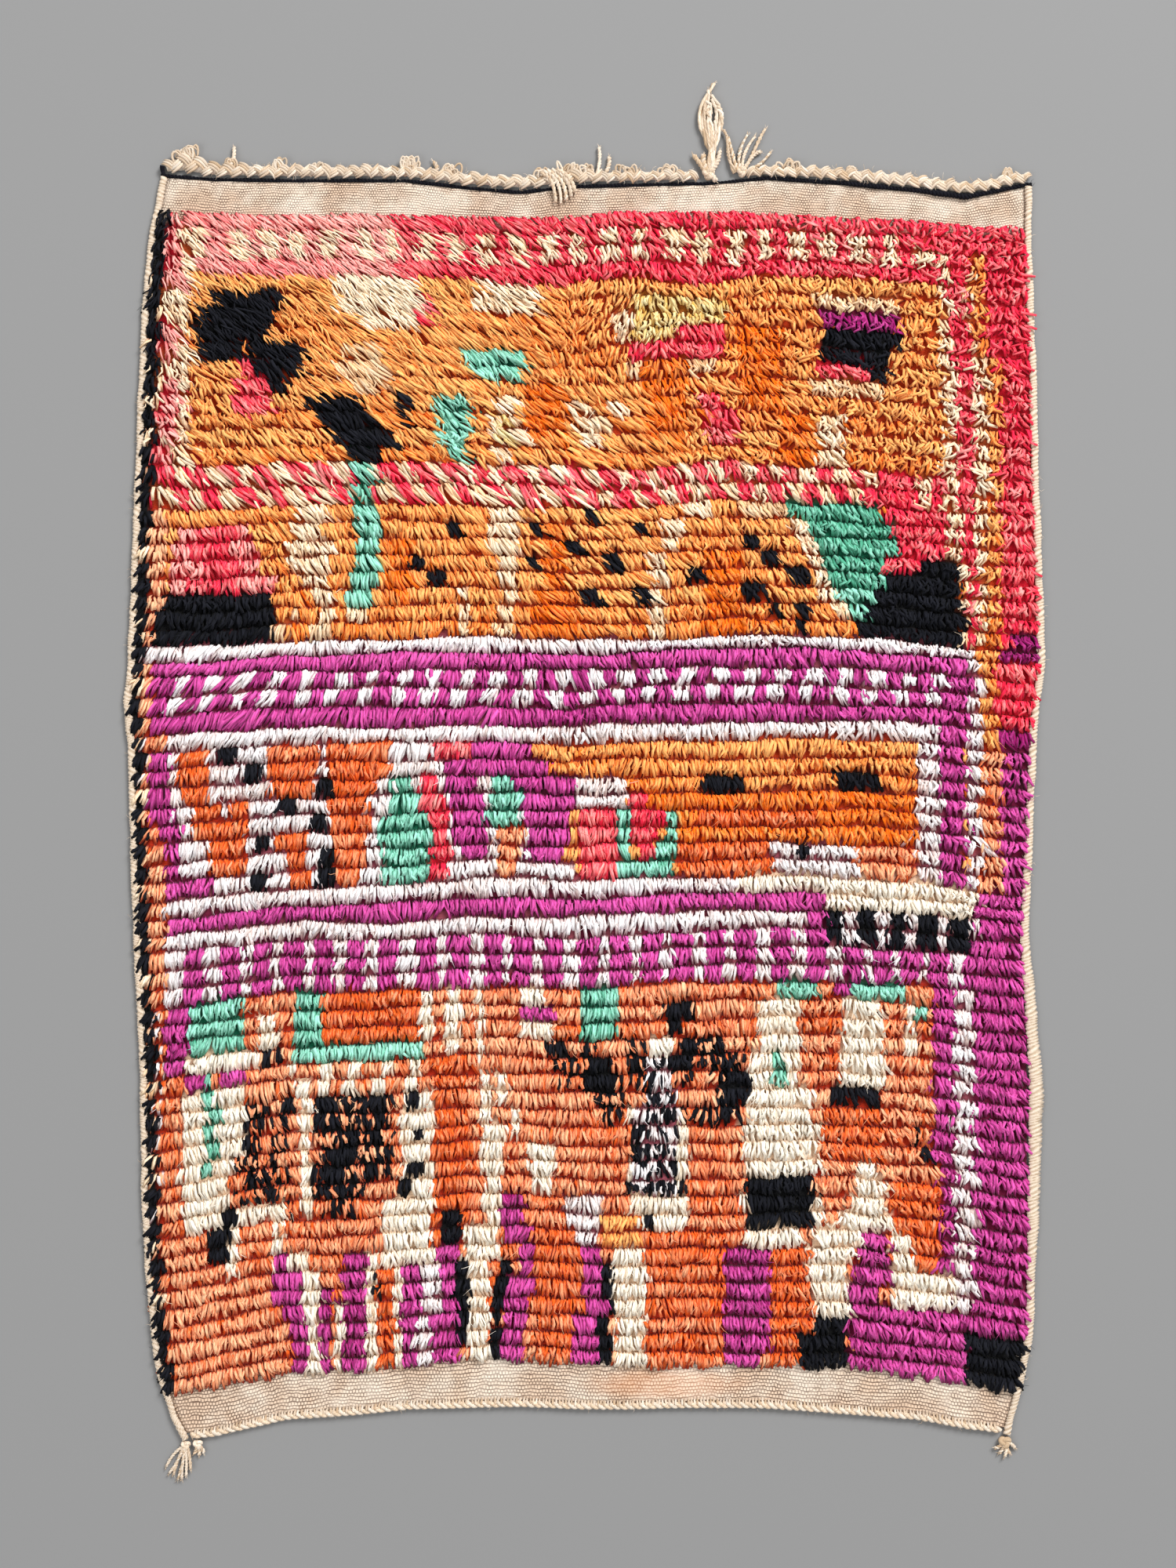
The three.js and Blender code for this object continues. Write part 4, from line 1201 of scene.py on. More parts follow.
def ground_finish():
    """Flatweave at the ends, and painted shade under the pile, in the root colour of the wool above."""
    finish, tree, shader = new_finish("ground_weave")
    threads = put(tree, "ShaderNodeUVMap", uv_map="threads")
    settings = {"Threads": threads.outputs["UV"], "Wool": paint("#DCC0A6"), "Worn": paint("#EFDFCC"),
                "Shadow": paint("#42200F")}
    weave = put(tree, "ShaderNodeGroup", settings, node_tree=flatweave)
    place = put(tree, "ShaderNodeTexCoord").outputs["Object"]
    middle = ((STAIN_MIDDLE[0] + SHIFT[0]) * MM, (STAIN_MIDDLE[1] + SHIFT[1]) * MM, 0)
    scale = (1 / (STAIN_SIZE[0] * MM), 1 / (STAIN_SIZE[1] * MM), 0)
    moved = put(tree, "ShaderNodeVectorMath", {0: place, 1: middle}, operation="SUBTRACT")
    spread = put(tree, "ShaderNodeVectorMath", {0: moved.outputs[0], 1: scale}, operation="MULTIPLY")
    away = put(tree, "ShaderNodeVectorMath", {0: spread.outputs[0]}, operation="LENGTH")
    stained = mapped(tree, away.outputs["Value"], 0.3, 1.0, STAIN_STRENGTH, 0.0)
    rubbed = blended(tree, stained, weave.outputs["Color"], paint("#E88A3C"))
    dye = put(tree, "ShaderNodeAttribute", attribute_name="dye")
    covered = put(tree, "ShaderNodeAttribute", attribute_name="covered")
    # painted shade: where the pile covers it, the ground takes the painted shade colour of the wool
    colour = blended(tree, covered.outputs["Fac"], rubbed, dye.outputs["Color"])
    join_to_shader(tree, shader, colour, weave, WEAVE_RELIEF, 0.8)
    shader.inputs["Sheen Weight"].default_value = 0.15
    shader.inputs["Specular IOR Level"].default_value = 0.2
    return finish


# %% Sizes of the ground
GROUND_COLUMNS = 120
STRIP_STEPS = 40
# where the ground starts to be fitted, across the rug
GROUND_LEFT = -745
GROUND_WIDTH = 1500
FITTINGS = 3
# distance between threads at the foot and at the upper end
WEFT_PITCH = (6.0, 4.4)
WARP_PITCH = (5.4, 4.5)
# how the ribs wander: shares of a rib, length in mm, and where the wave starts
RIB_WAVES = ((0.25, 53, 0), (0.2, 19, 1))
# the sheet's edges run into the cords that bind them, and its bare strips under the pile
TUCKED_IN = 3
UNDER_PILE = 8
RIB_HEIGHT = 1.5
UNDERSIDE = 0.2
flat_levels = np.linspace(0, 1, STRIP_STEPS + 1)
columns = np.linspace(0, 1, GROUND_COLUMNS + 1)


# %% Fit a grid to the rug
def ground_levels(x):
    """Heights up the rug of the grid's rows at places x, from the foot to the black line."""
    low, high = foot(x) + FOOT_CORD_WIDTH - TUCKED_IN, line(x) - LINE_WIDTH / 2
    levels = [low + (pile_foot(x) + UNDER_PILE - low) * share for share in flat_levels]
    levels += [row_line(row, x) for row in range(ROWS - 1, 0, -1)]
    levels += [pile_top(x) - UNDER_PILE + (high - pile_top(x) + UNDER_PILE) * share for share in flat_levels]
    return np.stack(levels)


def from_side_to_side(y):
    """Places across the rug of the grid's points at heights y."""
    first, last = inner_left(y) - TUCKED_IN, inner_right(y) + TUCKED_IN
    return first + (last - first) * columns


ground_y = ground_levels(GROUND_LEFT + GROUND_WIDTH * columns)
ground_x = from_side_to_side(ground_y)
for _ in range(FITTINGS):
    ground_y = np.stack([ground_levels(row)[i] for i, row in enumerate(ground_x)])
    ground_x = from_side_to_side(ground_y)
steps = len(ground_y) - 1
at_foot = ground_y < 0
from_end = np.where(at_foot, ground_y - foot(ground_x), ground_y - line(ground_x))
warp_count = ground_x / np.where(at_foot, *WARP_PITCH)
rib_count = from_end / np.where(at_foot, *WEFT_PITCH)
for share, length, begin in RIB_WAVES:
    rib_count = rib_count + share * np.sin(ground_x / length + begin)
bare = np.zeros(ground_y.shape)
bare[:STRIP_STEPS + 1] = 1
bare[-STRIP_STEPS - 1:] = 1
ground_z = GROUND_THICKNESS - bare * RIB_HEIGHT * (0.5 - 0.5 * np.cos(2 * math.pi * rib_count))
print("points of the grid:", ground_z.size)

# %% The sheet, with its threads and dyes
ground_shape = bmesh.new()
threads_map = ground_shape.loops.layers.uv.new("threads")
shade_under_pile_layer = ground_shape.verts.layers.float_color.new("dye")
covered_layer = ground_shape.verts.layers.float.new("covered")
bmesh.ops.create_grid(ground_shape, x_segments=GROUND_COLUMNS, y_segments=steps, size=0.5)
ground_shape.verts.ensure_lookup_table()
painted_shade_colours = [paint(YARNS[DYES[name][0]][2]) for name in DYE_NAMES]
for index, vertex in enumerate(ground_shape.verts):
    level, column = divmod(index, GROUND_COLUMNS + 1)
    x, y, z = (table[level, column] for table in (ground_x, ground_y, ground_z))
    vertex.co = (Vector((x, y, z)) + Vector(SHIFT)) * MM
    row = min(max(steps - STRIP_STEPS - level, 0), ROWS - 1)
    knot = min(max(round((x - KNOT_ORIGIN) / KNOT), FIRST_KNOT), LAST_KNOT)
    # painted shade: under the pile the wefts take the root colour, the painted shade, of the wool above
    in_black_edge = x < inner_left(y) + EDGE_ZONE
    dye = DYE_NAMES.index("black") if in_black_edge else chart[row, knot - FIRST_KNOT]
    vertex[shade_under_pile_layer] = painted_shade_colours[dye]
    vertex[covered_layer] = 0.0 if bare[level, column] else 1.0
for face in ground_shape.faces:
    for loop in face.loops:
        level, column = divmod(loop.vert.index, GROUND_COLUMNS + 1)
        loop[threads_map].uv = (warp_count[level, column], rib_count[level, column])
drawn = bmesh.ops.extrude_edge_only(ground_shape, edges=open_edges(ground_shape))["geom"]
for vertex in (v for v in drawn if isinstance(v, bmesh.types.BMVert)):
    vertex.co.z = UNDERSIDE * MM
bmesh.ops.holes_fill(ground_shape, edges=open_edges(ground_shape), sides=0)
bmesh.ops.recalc_face_normals(ground_shape, faces=ground_shape.faces)
ground_mesh = mesh_from(ground_shape, "ground")
ground = new_piece("ground", ground_mesh, ground_finish(), "rug_body")

# %% [markdown]
# ## Cords, plaits and tassels
# The long edges are overcast with cream wool, the foot ends in a twisted cord, and the upper end in
# a black twined line with a loose plait over it. All are tubes on paths. They could be plain tubes with
# a bump, but their edges show against the floor, so the turns are real: an overcast edge has a ridge
# for each wrap, and a twisted cord is two strands wound round each other.

# %% Join tubes into a piece
cord_yarn = dict(pale="#F6EBDC", deep="#C8AC8C", root="#8E6F50", painted_light_share=0.0)
cream_cord_finish = wool("cream_cord", streaks=6.0, lengths=260.0, twist=110.0, **cord_yarn)
cream_plait_finish = wool("cream_plait", streaks=7.0, lengths=90.0, twist=40.0, **cord_yarn)
short_yarn_finish = wool("cream_yarn", streaks=5.0, lengths=7.0, twist=5.0, **cord_yarn)
black_cord_finish = wool("black_cord", "#20202A", "#101016", "#08080A", streaks=5.0, lengths=260.0,
                         twist=110.0, painted_light_share=0.0, sheen=DARK_YARN_SHEEN)


def oval(count, half_width, half_height, sides):
    """Radii of a flattened tube: a row for each point, a column for each side."""
    around = directions(sides)[:-1]
    half_width, half_height = (np.broadcast_to(size, count)[:, None] for size in (half_width, half_height))
    return 1 / np.sqrt((np.cos(around) / half_width) ** 2 + (np.sin(around) / half_height) ** 2)


def joined_tubes(name, tubes, finish, wraps=None):
    """One piece from tubes drawn in millimetres, each with its own tint and shade, or with painted shade in
    the grooves between wraps.
    """
    whole = bmesh.new()
    for tube in tubes:
        tint = tube.verts.layers.float.new("tint")
        shade_of = tube.verts.layers.float.new("shade")
        values = min(max(chance.normal(0.4, 0.2), 0), 1), min(max(chance.normal(0.5, 0.15), 0), 1)
        for vertex in tube.verts:
            # painted shade: between two wraps the yarn is darker and deeper in dye, and paler on their tops
            if wraps:
                wrap = float(wraps(vertex.co.x, vertex.co.y))
                values = 1.0 - 0.85 * wrap, 0.65 * wrap
            vertex.co = (vertex.co + Vector(SHIFT)) * MM
            vertex[tint], vertex[shade_of] = values
        part = mesh_from(tube, "part")
        whole.from_mesh(part)
        bpy.data.meshes.remove(part)
    return new_piece(name, mesh_from(whole, name), finish, name)


# %% Stray fibres of a cord
# lengths and radii of the fibres that stand out of a cord, and of those at a frayed end
FIBRE_LENGTHS = (4, 11)
FIBRE_RADII = (0.42, 0.36, 0.2)
FRAY_LENGTHS = (3, 8)
FRAY_RADII = (0.55, 0.45, 0.2)
FRAY_COUNT = 4
HAIR_FLOOR = 0.6


def hair(points, radii):
    """A fine fibre through three points, which stays off the floor."""
    path = np.stack(points)
    path[:, 2] = np.maximum(path[:, 2], HAIR_FLOOR)
    return rolled_tube(path, radii, 3)


def stray_fibres(path, half_width, count):
    """Fine short hairs that stand out sideways from a cord."""
    hairs = []
    for index in chance.integers(0, len(path), count):
        turn = chance.uniform(0, 2 * math.pi)
        aim = np.array([math.cos(turn), math.sin(turn), 0.0])
        length = chance.uniform(*FIBRE_LENGTHS)
        bow = np.array([-aim[1], aim[0], 0.0]) * chance.normal(0, 1.8)
        start = path[index] + aim * half_width * 0.6 + (0, 0, chance.uniform(-1, 3))
        points = [start, start + aim * length * 0.5 + bow, start + aim * length]
        hairs.append(hair(points, FIBRE_RADII))
    return hairs


# %% Overcast edges
WRAP_PITCH = 6.2
WRAP_STEP = 2.05
WRAP_SLOPE = 0.35
WRAP_RELIEF = 0.32
BINDING_THICKNESS = 10
BINDING_SIDES = 9
# heights up the rug near the upper and lower corners, where the ends of the edges are read off
UPPER_CORNER, LOWER_CORNER = 1000, -1090
EDGE_FIBRES = 130


def overcast_edge(name, edge_column, cord_column, inward):
    """A cord of wraps down one long edge."""
    def middle(y):
        wobble = 0.5 * np.sin(y / 21) + 0.3 * np.sin(y / 8)
        return side(edge_column, y) + inward * side(cord_column, y) / 2 + wobble

    def wraps(x, y):
        """How high a place stands on its wrap: 0 between two wraps, 1 on the top of one."""
        loose = 0.35 * np.sin(y / 13) + 0.3 * np.sin(y / 5.3)
        along = (y + inward * WRAP_SLOPE * (x - middle(y))) / WRAP_PITCH
        return np.abs(np.sin(math.pi * (along + loose))) ** 0.7

    top = float(line(side(edge_column, UPPER_CORNER))) - LINE_WIDTH / 2 - GAP
    bottom = float(foot(side(edge_column, LOWER_CORNER))) + GAP
    y = np.arange(top, bottom, -WRAP_STEP)
    width = side(cord_column, y)
    path = np.stack([middle(y), y, np.full(len(y), BINDING_THICKNESS / 2 + 0.8)], axis=1)
    radii = oval(len(y), width / 2, BINDING_THICKNESS / 2, BINDING_SIDES)
    sideways, _ = frames_along(path)
    aside = (radii * np.cos(directions(BINDING_SIDES)[:-1]))[..., None] * sideways[:, None, :2]
    x_of_side, y_of_side = np.moveaxis(path[:, None, :2] + aside, 2, 0)
    fat = 1 + 0.05 * np.sin(y / 31) + 0.04 * np.sin(y / 11)
    radii = radii * fat[:, None] * (1 - WRAP_RELIEF + WRAP_RELIEF * wraps(x_of_side, y_of_side))
    tubes = [rolled_tube(path, radii, BINDING_SIDES)] + stray_fibres(path, width.mean() / 2, EDGE_FIBRES)
    # the wraps also give the painted shade in the grooves between them
    joined_tubes(name, tubes, cream_cord_finish, wraps)


overcast_edge("left_binding", LEFT_EDGE, LEFT_CORD, 1)
overcast_edge("right_binding", RIGHT_EDGE, RIGHT_CORD, -1)

# %% Paths and twisted cords
CORD_STRANDS = 2
CURVE_POINTS = 12
PATH_POINTS = 14


def twisted(path, radius, spread, turn_length, sides):
    """Tubes of a cord twisted from two strands round a path."""
    length = np.r_[0, np.cumsum(np.linalg.norm(np.diff(path, axis=0), axis=1))]
    sideways, upward = frames_along(path)
    spread = np.broadcast_to(spread, len(path))[:, None]
    tubes = []
    for number in range(CORD_STRANDS):
        turn = 2 * math.pi * (length / turn_length + number / CORD_STRANDS)
        strand = path + spread * (np.cos(turn)[:, None] * sideways + np.sin(turn)[:, None] * upward)
        lumps = 1 + 0.06 * np.sin(length / 17 + number) + 0.05 * np.sin(length / 6.1)
        tubes.append(rolled_tube(strand, radius * lumps, sides))
    return tubes


def curved(root, tip, bend, z_root, z_tip):
    """A path in a gentle curve from root to tip, seen from above."""
    root, tip = np.array(root, float), np.array(tip, float)
    middle = (root + tip) / 2 + (bend, 0)
    t = np.linspace(0, 1, CURVE_POINTS)[:, None]
    flat = (1 - t) ** 2 * root + 2 * t * (1 - t) * middle + t ** 2 * tip
    height = z_root + (z_tip - z_root) * t + 1.0 * np.sin(3 * math.pi * t) * (1 - t)
    return np.hstack([flat, height])


def through(points, z_root, z_tip):
    """A smooth path through a few points, seen from above."""
    points = np.array(points, float)
    stations, along = np.linspace(0, 1, len(points)), np.linspace(0, 1, PATH_POINTS)
    x, y = (np.polyval(np.polyfit(stations, part, len(points) - 1), along) for part in points.T)
    return np.stack([x, y, z_root + (z_tip - z_root) * along], axis=1)


def across(first, last, step, height_up, z):
    """A path over the rug from one place across to another."""
    x = np.arange(first, last, step)
    return np.stack([x, height_up(x), np.full(len(x), z)], axis=1)


def span_of(node):
    """Where a plain solid starts and ends across the rug, in the drawing."""
    return [corner.x / MM - SHIFT[0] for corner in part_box(node)]


# %% The black line
# place across, and how much fatter the twined line is there
LINE_FATNESS = np.array([
    (-709, 0.9), (0, 0.95), (200, 0.85), (330, 1.05), (560, 1.45), (660, 1.6), (752, 1.0),
])
LINE_RADIUS = 1.8
LINE_SPREAD = 1.6
LINE_TURN = 12
LINE_FIBRES = 260
line_start, line_stop = span_of("twined_line")
line_path = across(line_start + 1.5, line_stop - 1.5, 2.2, line, 0)
ripple = 0.12 * np.sin(line_path[:, 0] / 23) + 0.09 * np.sin(line_path[:, 0] / 7.7)
fatness = np.interp(line_path[:, 0], *LINE_FATNESS.T) * (1 + ripple)
line_path[:, 2] = 1.15 * (LINE_RADIUS + LINE_SPREAD) * fatness
line_tubes = twisted(line_path, LINE_RADIUS * fatness, LINE_SPREAD * fatness, LINE_TURN, 5)
# its left end is turned up beside the plait
first_x, first_y = line_path[0, :2]
line_end = curved((first_x + 5, first_y), (first_x + 3, first_y + 15), -3, 5, 9)
line_tubes.append(rolled_tube(line_end, np.linspace(3, 4.4, len(line_end)), 8))
line_tubes += stray_fibres(line_path, 2, LINE_FIBRES)

# %% The foot cord
FOOT_RADIUS = 3.4
FOOT_SPREAD = 2.7
FOOT_TURN = 24
FOOT_FIBRES = 110
# the ends of the warps rise from the weave into the cord: how far from its middle, and how high
END_STEPS = np.array([9.5, 6.5, 3.5, 0.5])
END_HEIGHTS = np.array([4.4, 6.4, 9.6, 11.4])
END_RADII = (1.3, 1.9, 2.0, 1.0)


def foot_middle(x):
    return foot(x) + FOOT_CORD_WIDTH / 2


foot_start, foot_stop = span_of("foot_cord")
foot_path = across(foot_start + 3, foot_stop - 3, 2.4, foot_middle, 6.7)
foot_tubes = twisted(foot_path, FOOT_RADIUS, FOOT_SPREAD, FOOT_TURN, 7)
foot_tubes += stray_fibres(foot_path, 5, FOOT_FIBRES)
for x in np.arange(foot_start + 9, foot_stop - 9, WARP_PITCH[0]):
    end_x = x + np.cumsum(chance.normal(0, 0.45, len(END_STEPS)))
    end_path = np.stack([end_x, foot_middle(x) + END_STEPS, END_HEIGHTS], axis=1)
    foot_tubes.append(rolled_tube(end_path, END_RADII, 5))
joined_tubes("foot_cord", foot_tubes, cream_cord_finish)
joined_tubes("twined_line", line_tubes, black_cord_finish)

# %% [markdown]
# The ends of the warps are plaited along the upper edge, in one run on each side of the tassels. What
# shows of a plait is a row of lobes that lean in from both sides in turn, each of three yarns that arch
# over and tuck under the next. So the lobes are laid one by one over a flat core. A real plait of three
# long strands would look the same from above, but its crossings are hard to keep apart.

# %% Sizes of the plaits
# place across, width of the plait
PLAIT_WIDTHS = np.array([
    (-706, 18), (-668, 44), (-625, 27), (-480, 25), (-250, 24), (-100, 28), (60, 24), (198, 22),
    (274, 20), (420, 25), (600, 26), (752, 20),
])
# place across, tip across, length of a lock that sticks out
PLAIT_LOCKS = ((-592, -587, 24), (-247, -252, 10), (22, 25, 36), (36, 42, 20))
# place across, how far loops of yarn rise over the plait, and how many
PLAIT_LOOPS = ((-680, 10, 5), (-660, 12, 7), (-590, 8, 4), (-507, 14, 7), (-450, 5, 3), (-296, 17, 10),
               (-224, 12, 7), (-67, 9, 6), (-26, 15, 8), (7, 12, 6), (66, 11, 7), (138, 7, 5), (342, 11, 7),
               (447, 6, 4), (711, 13, 8))
LEFT_PLAIT = (LEFT_PLAIT_START, 196)
RIGHT_PLAIT = (275, 750)
PLAIT_PLIES = 3
LOBE_RINGS = 7
LOBE_ANGLE = 38
BIGGEST_LOBE = 30
# shares of a lobe's size: the step to the next lobe, the space between its yarns, and their radius
LOBE_STEP, PLY_SPACING, PLY_RADIUS = 0.44, 0.15, 0.095
YARN_RADIUS = 3.5
LOOP_RADIUS = 1.9
LOOP_WIDTHS = (3.5, 8)


def plait_width(x):
    return np.interp(x, PLAIT_WIDTHS[:, 0], PLAIT_WIDTHS[:, 1])


# %% Lobes of a plait
def plait_lobes(first, last, heading):
    """A flat core, and over it the lobes of the strands, laid from both sides in turn."""
    along = np.arange(first + 2, last - 2, 8.0)
    width = plait_width(along)
    core = np.stack([along, plait_foot(along) + width / 2 - 1, np.full(len(along), 5.0)], axis=1)
    rope = [rolled_tube(core, oval(len(along), 0.3 * width, 4.0, 6), 6)]
    t = np.linspace(0, 1, LOBE_RINGS)
    arch = np.sin(math.pi * t)
    x, up = first + 6.0, 1
    while x < last - 6:
        width = float(plait_width(x)) * chance.normal(1.03, 0.07)
        middle = float(plait_foot(x)) + width / 2 - 1.5
        turn = math.radians(chance.normal(LOBE_ANGLE, 5))
        size = min(width, BIGGEST_LOBE)
        ahead = 0.95 * size * (t - 0.45)
        start = 0.30 * width - 0.44 * size * math.sin(turn)
        for ply in range(PLAIT_PLIES):
            aside = (ply - (PLAIT_PLIES - 1) / 2) * PLY_SPACING * size
            bulge = 0.10 * size * arch + aside
            across_rug = x + heading * (ahead * math.cos(turn) + bulge * math.sin(turn))
            up_rug = middle + up * (start - ahead * math.sin(turn) + bulge * math.cos(turn))
            height = 4.2 + 7.6 * np.sin(math.pi * (0.12 + 0.8 * t)) - 0.12 * abs(aside)
            radii = PLY_RADIUS * size * (0.55 + 0.5 * arch) * chance.normal(1, 0.07)
            rope.append(rolled_tube(np.stack([across_rug, up_rug, height], axis=1), radii, 5))
        x, up = x + LOBE_STEP * size, -up
    return rope


# %% Loops and locks of a plait
def turned_left(flat, angle):
    """Points or a direction on the floor, turned to the left by an angle."""
    cosine, sine = math.cos(angle), math.sin(angle)
    return flat @ np.array([[cosine, sine], [-sine, cosine]])


def loops_between(first, last):
    """Small untidy loops of fine yarn that stand out of the plait."""
    t = np.linspace(-0.3, 1.1 * math.pi, 9)
    loops = []
    for place, rise, count in (loop for loop in PLAIT_LOOPS if first < loop[0] < last):
        top = float(plait_foot(place) + plait_width(place)) - 9
        for _ in range(count):
            tall = chance.uniform(0.6, 1) * rise + 5
            wide = chance.uniform(*LOOP_WIDTHS)
            spun = turned_left(np.stack([wide * np.cos(t), tall * np.sin(t)], axis=1), chance.normal(0, 0.5))
            height = 7 + 4 * np.sin(t) + chance.uniform(-1, 2)
            start = np.array([place + chance.normal(0, 7), top + chance.normal(0, 2)])
            path = np.hstack([start + spun, height[:, None]])
            loops.append(rolled_tube(path, np.full(len(t), LOOP_RADIUS), 4))
    return loops


def yarn_with_frayed_end(path, radius, turn_length=11):
    """A two-ply yarn and a few fibres that spread from its tip."""
    tubes = twisted(path, radius * 0.62, radius * 0.5, turn_length, 5)
    tip, ahead = path[-1], path[-1] - path[-3]
    ahead = ahead / np.linalg.norm(ahead)
    for _ in range(FRAY_COUNT):
        aim = np.r_[turned_left(ahead[:2], chance.normal(0, 0.45)), 0]
        reach = chance.uniform(*FRAY_LENGTHS)
        points = [tip - ahead * 3, tip + aim * reach * 0.5, tip + aim * reach]
        tubes.append(hair(points, FRAY_RADII))
    return tubes


def locks_between(first, last):
    """Loose yarns that stick out of the plait."""
    tubes = []
    for x, tip_x, length in (lock for lock in PLAIT_LOCKS if first < lock[0] < last):
        top = float(plait_foot(x) + plait_width(x))
        path = curved((x, top - 8), (tip_x, top + length), 5, 9, 1.2 * YARN_RADIUS + 0.4)
        tubes += yarn_with_frayed_end(path, YARN_RADIUS)
    return tubes


# %% The two plaits
for name, (first, last), heading in (("left_plait", LEFT_PLAIT, 1), ("right_plait", RIGHT_PLAIT, -1)):
    along = np.arange(first + 10, last - 10, 5.0)
    spine = np.stack([along, plait_foot(along) + plait_width(along) / 2, np.full(len(along), 8.0)], axis=1)
    tubes = plait_lobes(first, last, heading) + locks_between(first, last) + loops_between(first, last)
    tubes += stray_fibres(spine, 14, int((last - first) / 6))
    joined_tubes(name, tubes, cream_plait_finish)

# %% [markdown]
# A tassel is an overhand knot with its yarns spread out on the floor. The knot is one thick tube on a
# trefoil path, and each yarn is a two-ply tube through a few listed places, frayed at its tip.

# %% Yarns of the tassels and knots
# places that each yarn passes, across and up from the middle of its knot, root first
TALL_TASSEL = (
    ((0, 4), (2, 40), (-13, 82), (-9, 118), (9, 151)), ((1, 4), (3, 40), (-8, 78), (-6, 110), (0, 139)),
    ((2, 4), (5, 38), (-1, 72), (3, 100), (-4, 121)), ((3, 4), (4, 42), (5, 76), (-1, 100), (2, 116)),
    ((4, 4), (8, 38), (11, 74), (14, 98), (7, 125)), ((5, 4), (6, 42), (19, 80), (20, 106), (5, 131)),
    ((6, 4), (8, 34), (16, 62), (22, 90), (15, 112)), ((-4, 2), (-12, 14), (-25, 31)),
    ((-2, 4), (-8, 18), (-8, 31)), ((4, 4), (14, 18), (19, 38)), ((4, -2), (8, -6), (12, -12)),
)
FAN_TASSEL = (
    ((-12, -2), (-23, 30), (-24, 50), (-31, 70)), ((-8, 2), (-15, 26), (-23, 58)),
    ((-3, 2), (-4, 32), (9, 62)), ((0, 2), (5, 32), (22, 59)), ((2, 2), (14, 22), (26, 48), (39, 72)),
    ((3, 0), (26, 10), (48, 33)), ((2, 2), (18, 26), (31, 34)),
)
CORNER_TASSEL = (
    ((2, -2), (6, -18), (8, -40)), ((0, -3), (1, -26), (0, -52)), ((-1, -3), (-5, -28), (-7, -57)),
    ((-2, -3), (-6, -30), (-14, -58)), ((-3, -3), (-13, -24), (-21, -50)), ((-4, -2), (-14, -26), (-28, -47)),
    ((-4, -2), (-20, -15), (-33, -36)),
)
LEFT_KNOT = (((0, -2), (-3, -10), (-6, -16)), ((0, -2), (2, -10), (2, -19)), ((2, -2), (7, -8), (10, -15)))
RIGHT_KNOT = (
    ((-4, 0), (-9, -7), (-17, -10)), ((-2, -2), (-4, -12), (-9, -19)), ((0, -2), (2, -12), (0, -24)),
    ((2, -2), (4, -12), (9, -20)), ((4, 0), (11, -4), (17, -10)),
)
# radius and height of each knot, in mm, and the radii of the yarns
TALL_HEAD = (12, 13)
FAN_HEAD = (10, 12)
CORNER_HEAD = (9, 11)
RIGHT_KNOT_HEAD = (12, 12)
TALL_YARN_RADIUS = 4.4
FOOT_YARN_RADIUS = 2.9
RIGHT_KNOT_X = 705
CORNER_START = -665
# thickness of a knot's yarn, as a share of the knot's radius
KNOT_YARN = 0.36

# %% Knots and tassels
def over_plait(x, radius):
    """Height up the rug of a head that lies on the black line."""
    return max(float(plait_foot(x + part * radius)) for part in (-0.5, 0.5)) + radius


def under_foot(x, radius):
    """Height up the rug of a knot that hangs just below the foot cord."""
    return min(float(foot(x + part * radius)) for part in (-0.5, 0, 0.5)) - GAP - radius


def knot_tube(x, y, radius, height):
    """An overhand knot: a thick yarn that loops through itself."""
    t = np.linspace(0.15, 2 * math.pi + 0.1, 56)
    loops = np.stack([np.sin(t) + 2 * np.sin(2 * t), np.cos(t) - 2 * np.cos(2 * t), -np.sin(3 * t)], axis=1)
    thick = KNOT_YARN * radius
    loops[:, :2] *= (radius - thick) / 3
    loops[:, 2] *= height / 2 - thick
    return rolled_tube(loops + (x, y, height / 2 + 0.3), np.full(len(t), thick), 7)


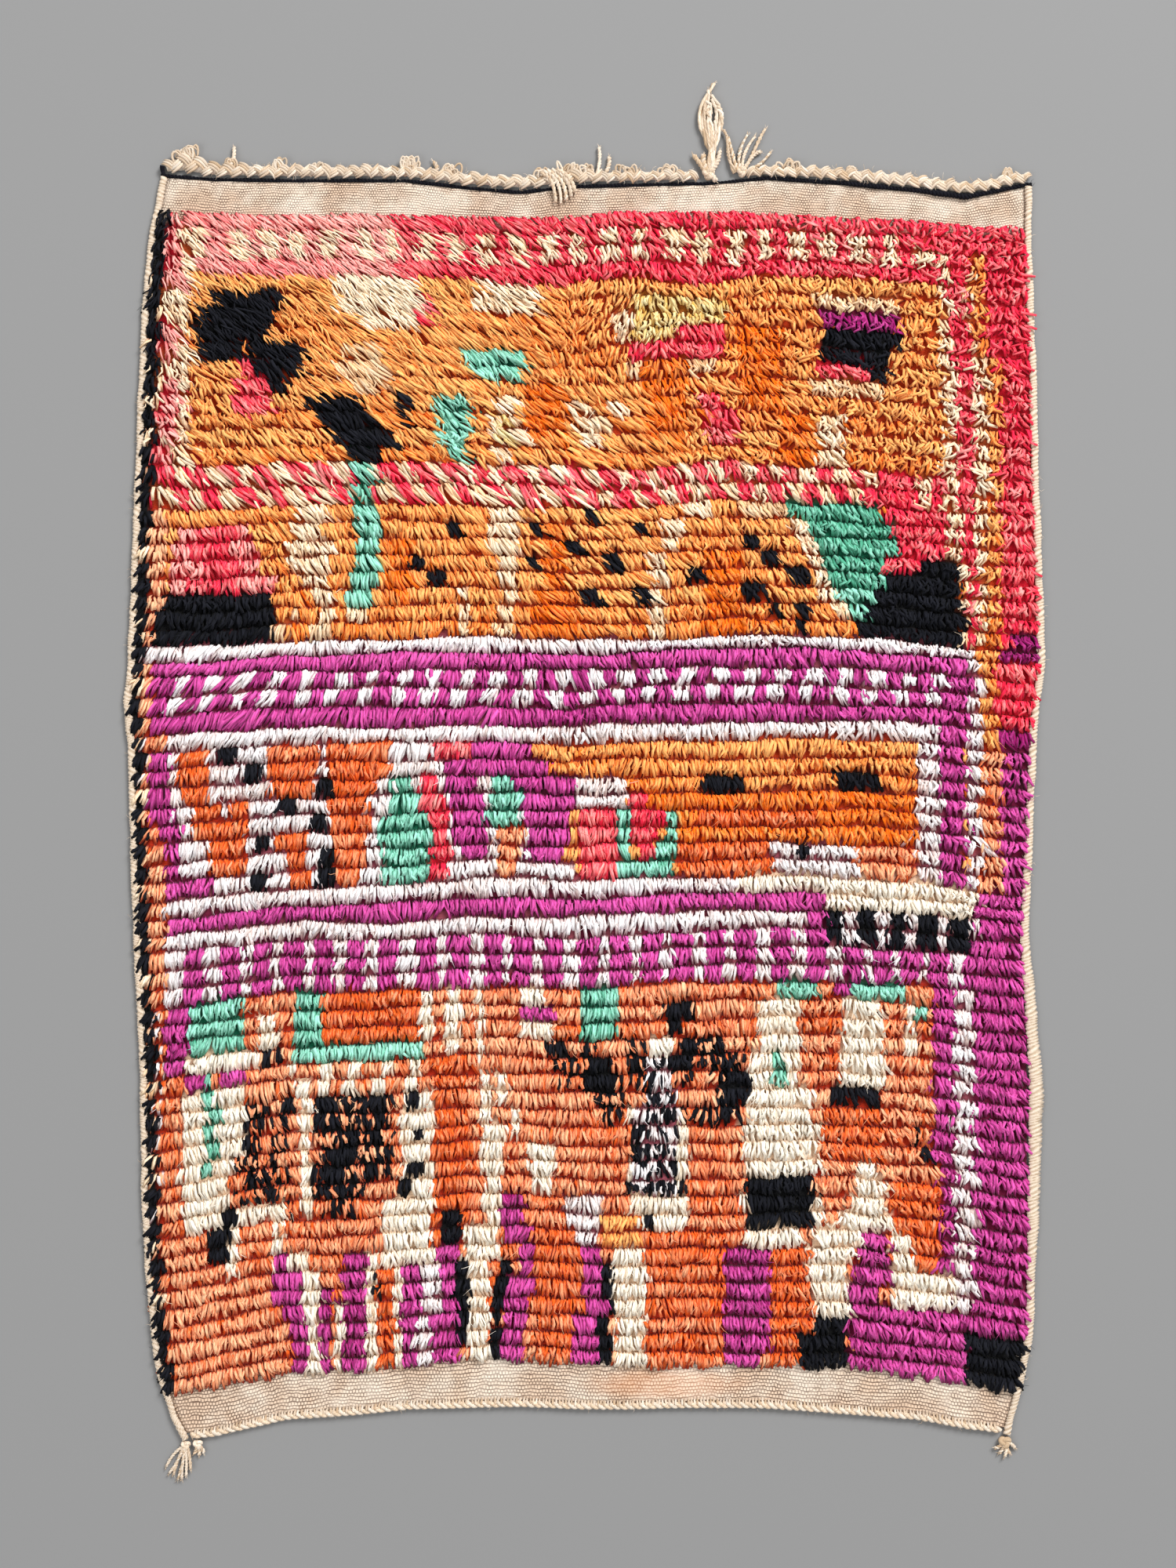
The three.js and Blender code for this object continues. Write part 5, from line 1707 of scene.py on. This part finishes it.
tall_x = LEFT_PLAIT[1] + GAP + TALL_HEAD[0]
fan_x = RIGHT_PLAIT[0] - GAP - FAN_HEAD[0]
corner_y = float(foot(CORNER_START))
corner_x = float(side(LEFT_EDGE, corner_y) + side(LEFT_CORD, corner_y) / 2)
knot_x = corner_x + 2 * CORNER_HEAD[0] + 2
TASSELS = (
    ("tall_tassel", tall_x, over_plait, TALL_HEAD, TALL_TASSEL, TALL_YARN_RADIUS),
    ("fan_tassel", fan_x, over_plait, FAN_HEAD, FAN_TASSEL, YARN_RADIUS),
    ("corner_tassel", corner_x, under_foot, CORNER_HEAD, CORNER_TASSEL, FOOT_YARN_RADIUS),
    ("left_knot", knot_x, under_foot, CORNER_HEAD, LEFT_KNOT, FOOT_YARN_RADIUS),
    ("right_knot", RIGHT_KNOT_X, under_foot, RIGHT_KNOT_HEAD, RIGHT_KNOT, FOOT_YARN_RADIUS),
)
for name, x, height_up, (radius, height), yarns, thick in TASSELS:
    y = height_up(x, radius)
    tubes = [knot_tube(x, y, radius, height)]
    for yarn in yarns:
        low = 1.2 * thick + 0.4 + chance.uniform(0, 3)
        path = through(np.array(yarn) + (x, y), height * 0.5 + 1, low)
        tubes += yarn_with_frayed_end(path, thick)
    joined_tubes(name, tubes, short_yarn_finish)

# %% Bundle of yarns folded down over the black line
BUNDLE_X = -38
BUNDLE_REACH = 17
BUNDLE_YARN_RADIUS = 3.9
BUNDLE_TURN = 14
# places that each yarn passes, across and up from the foot of the plait
BUNDLE_YARNS = (
    ((-34, 19), (-17, 8), (-10, -27)), ((-30, 23), (-8, 8), (-1, -29)), ((-24, 25), (0, 8), (8, -23)),
    ((-16, 26), (8, 10), (16, -17)), ((-8, 26), (12, 14), (23, -9)),
)
bundle_top = float(min(plait_foot(BUNDLE_X - BUNDLE_REACH), plait_foot(BUNDLE_X + BUNDLE_REACH)))
bundle = []
for yarn in BUNDLE_YARNS:
    path = through(np.array(yarn) + (BUNDLE_X, bundle_top), 15, 8)
    bundle += yarn_with_frayed_end(path, BUNDLE_YARN_RADIUS, BUNDLE_TURN)
joined_tubes("folded_bundle", bundle, short_yarn_finish)

# %% [markdown]
# The new pieces are counted up by their triangles.

# %% Triangles of the new pieces
added = [piece for piece in bpy.data.objects if piece.type == "MESH" and piece.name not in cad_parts]
triangles = [triangles_in(piece.data) for piece in added]
print("triangles:", sum(triangles), "most in one piece:", max(triangles))
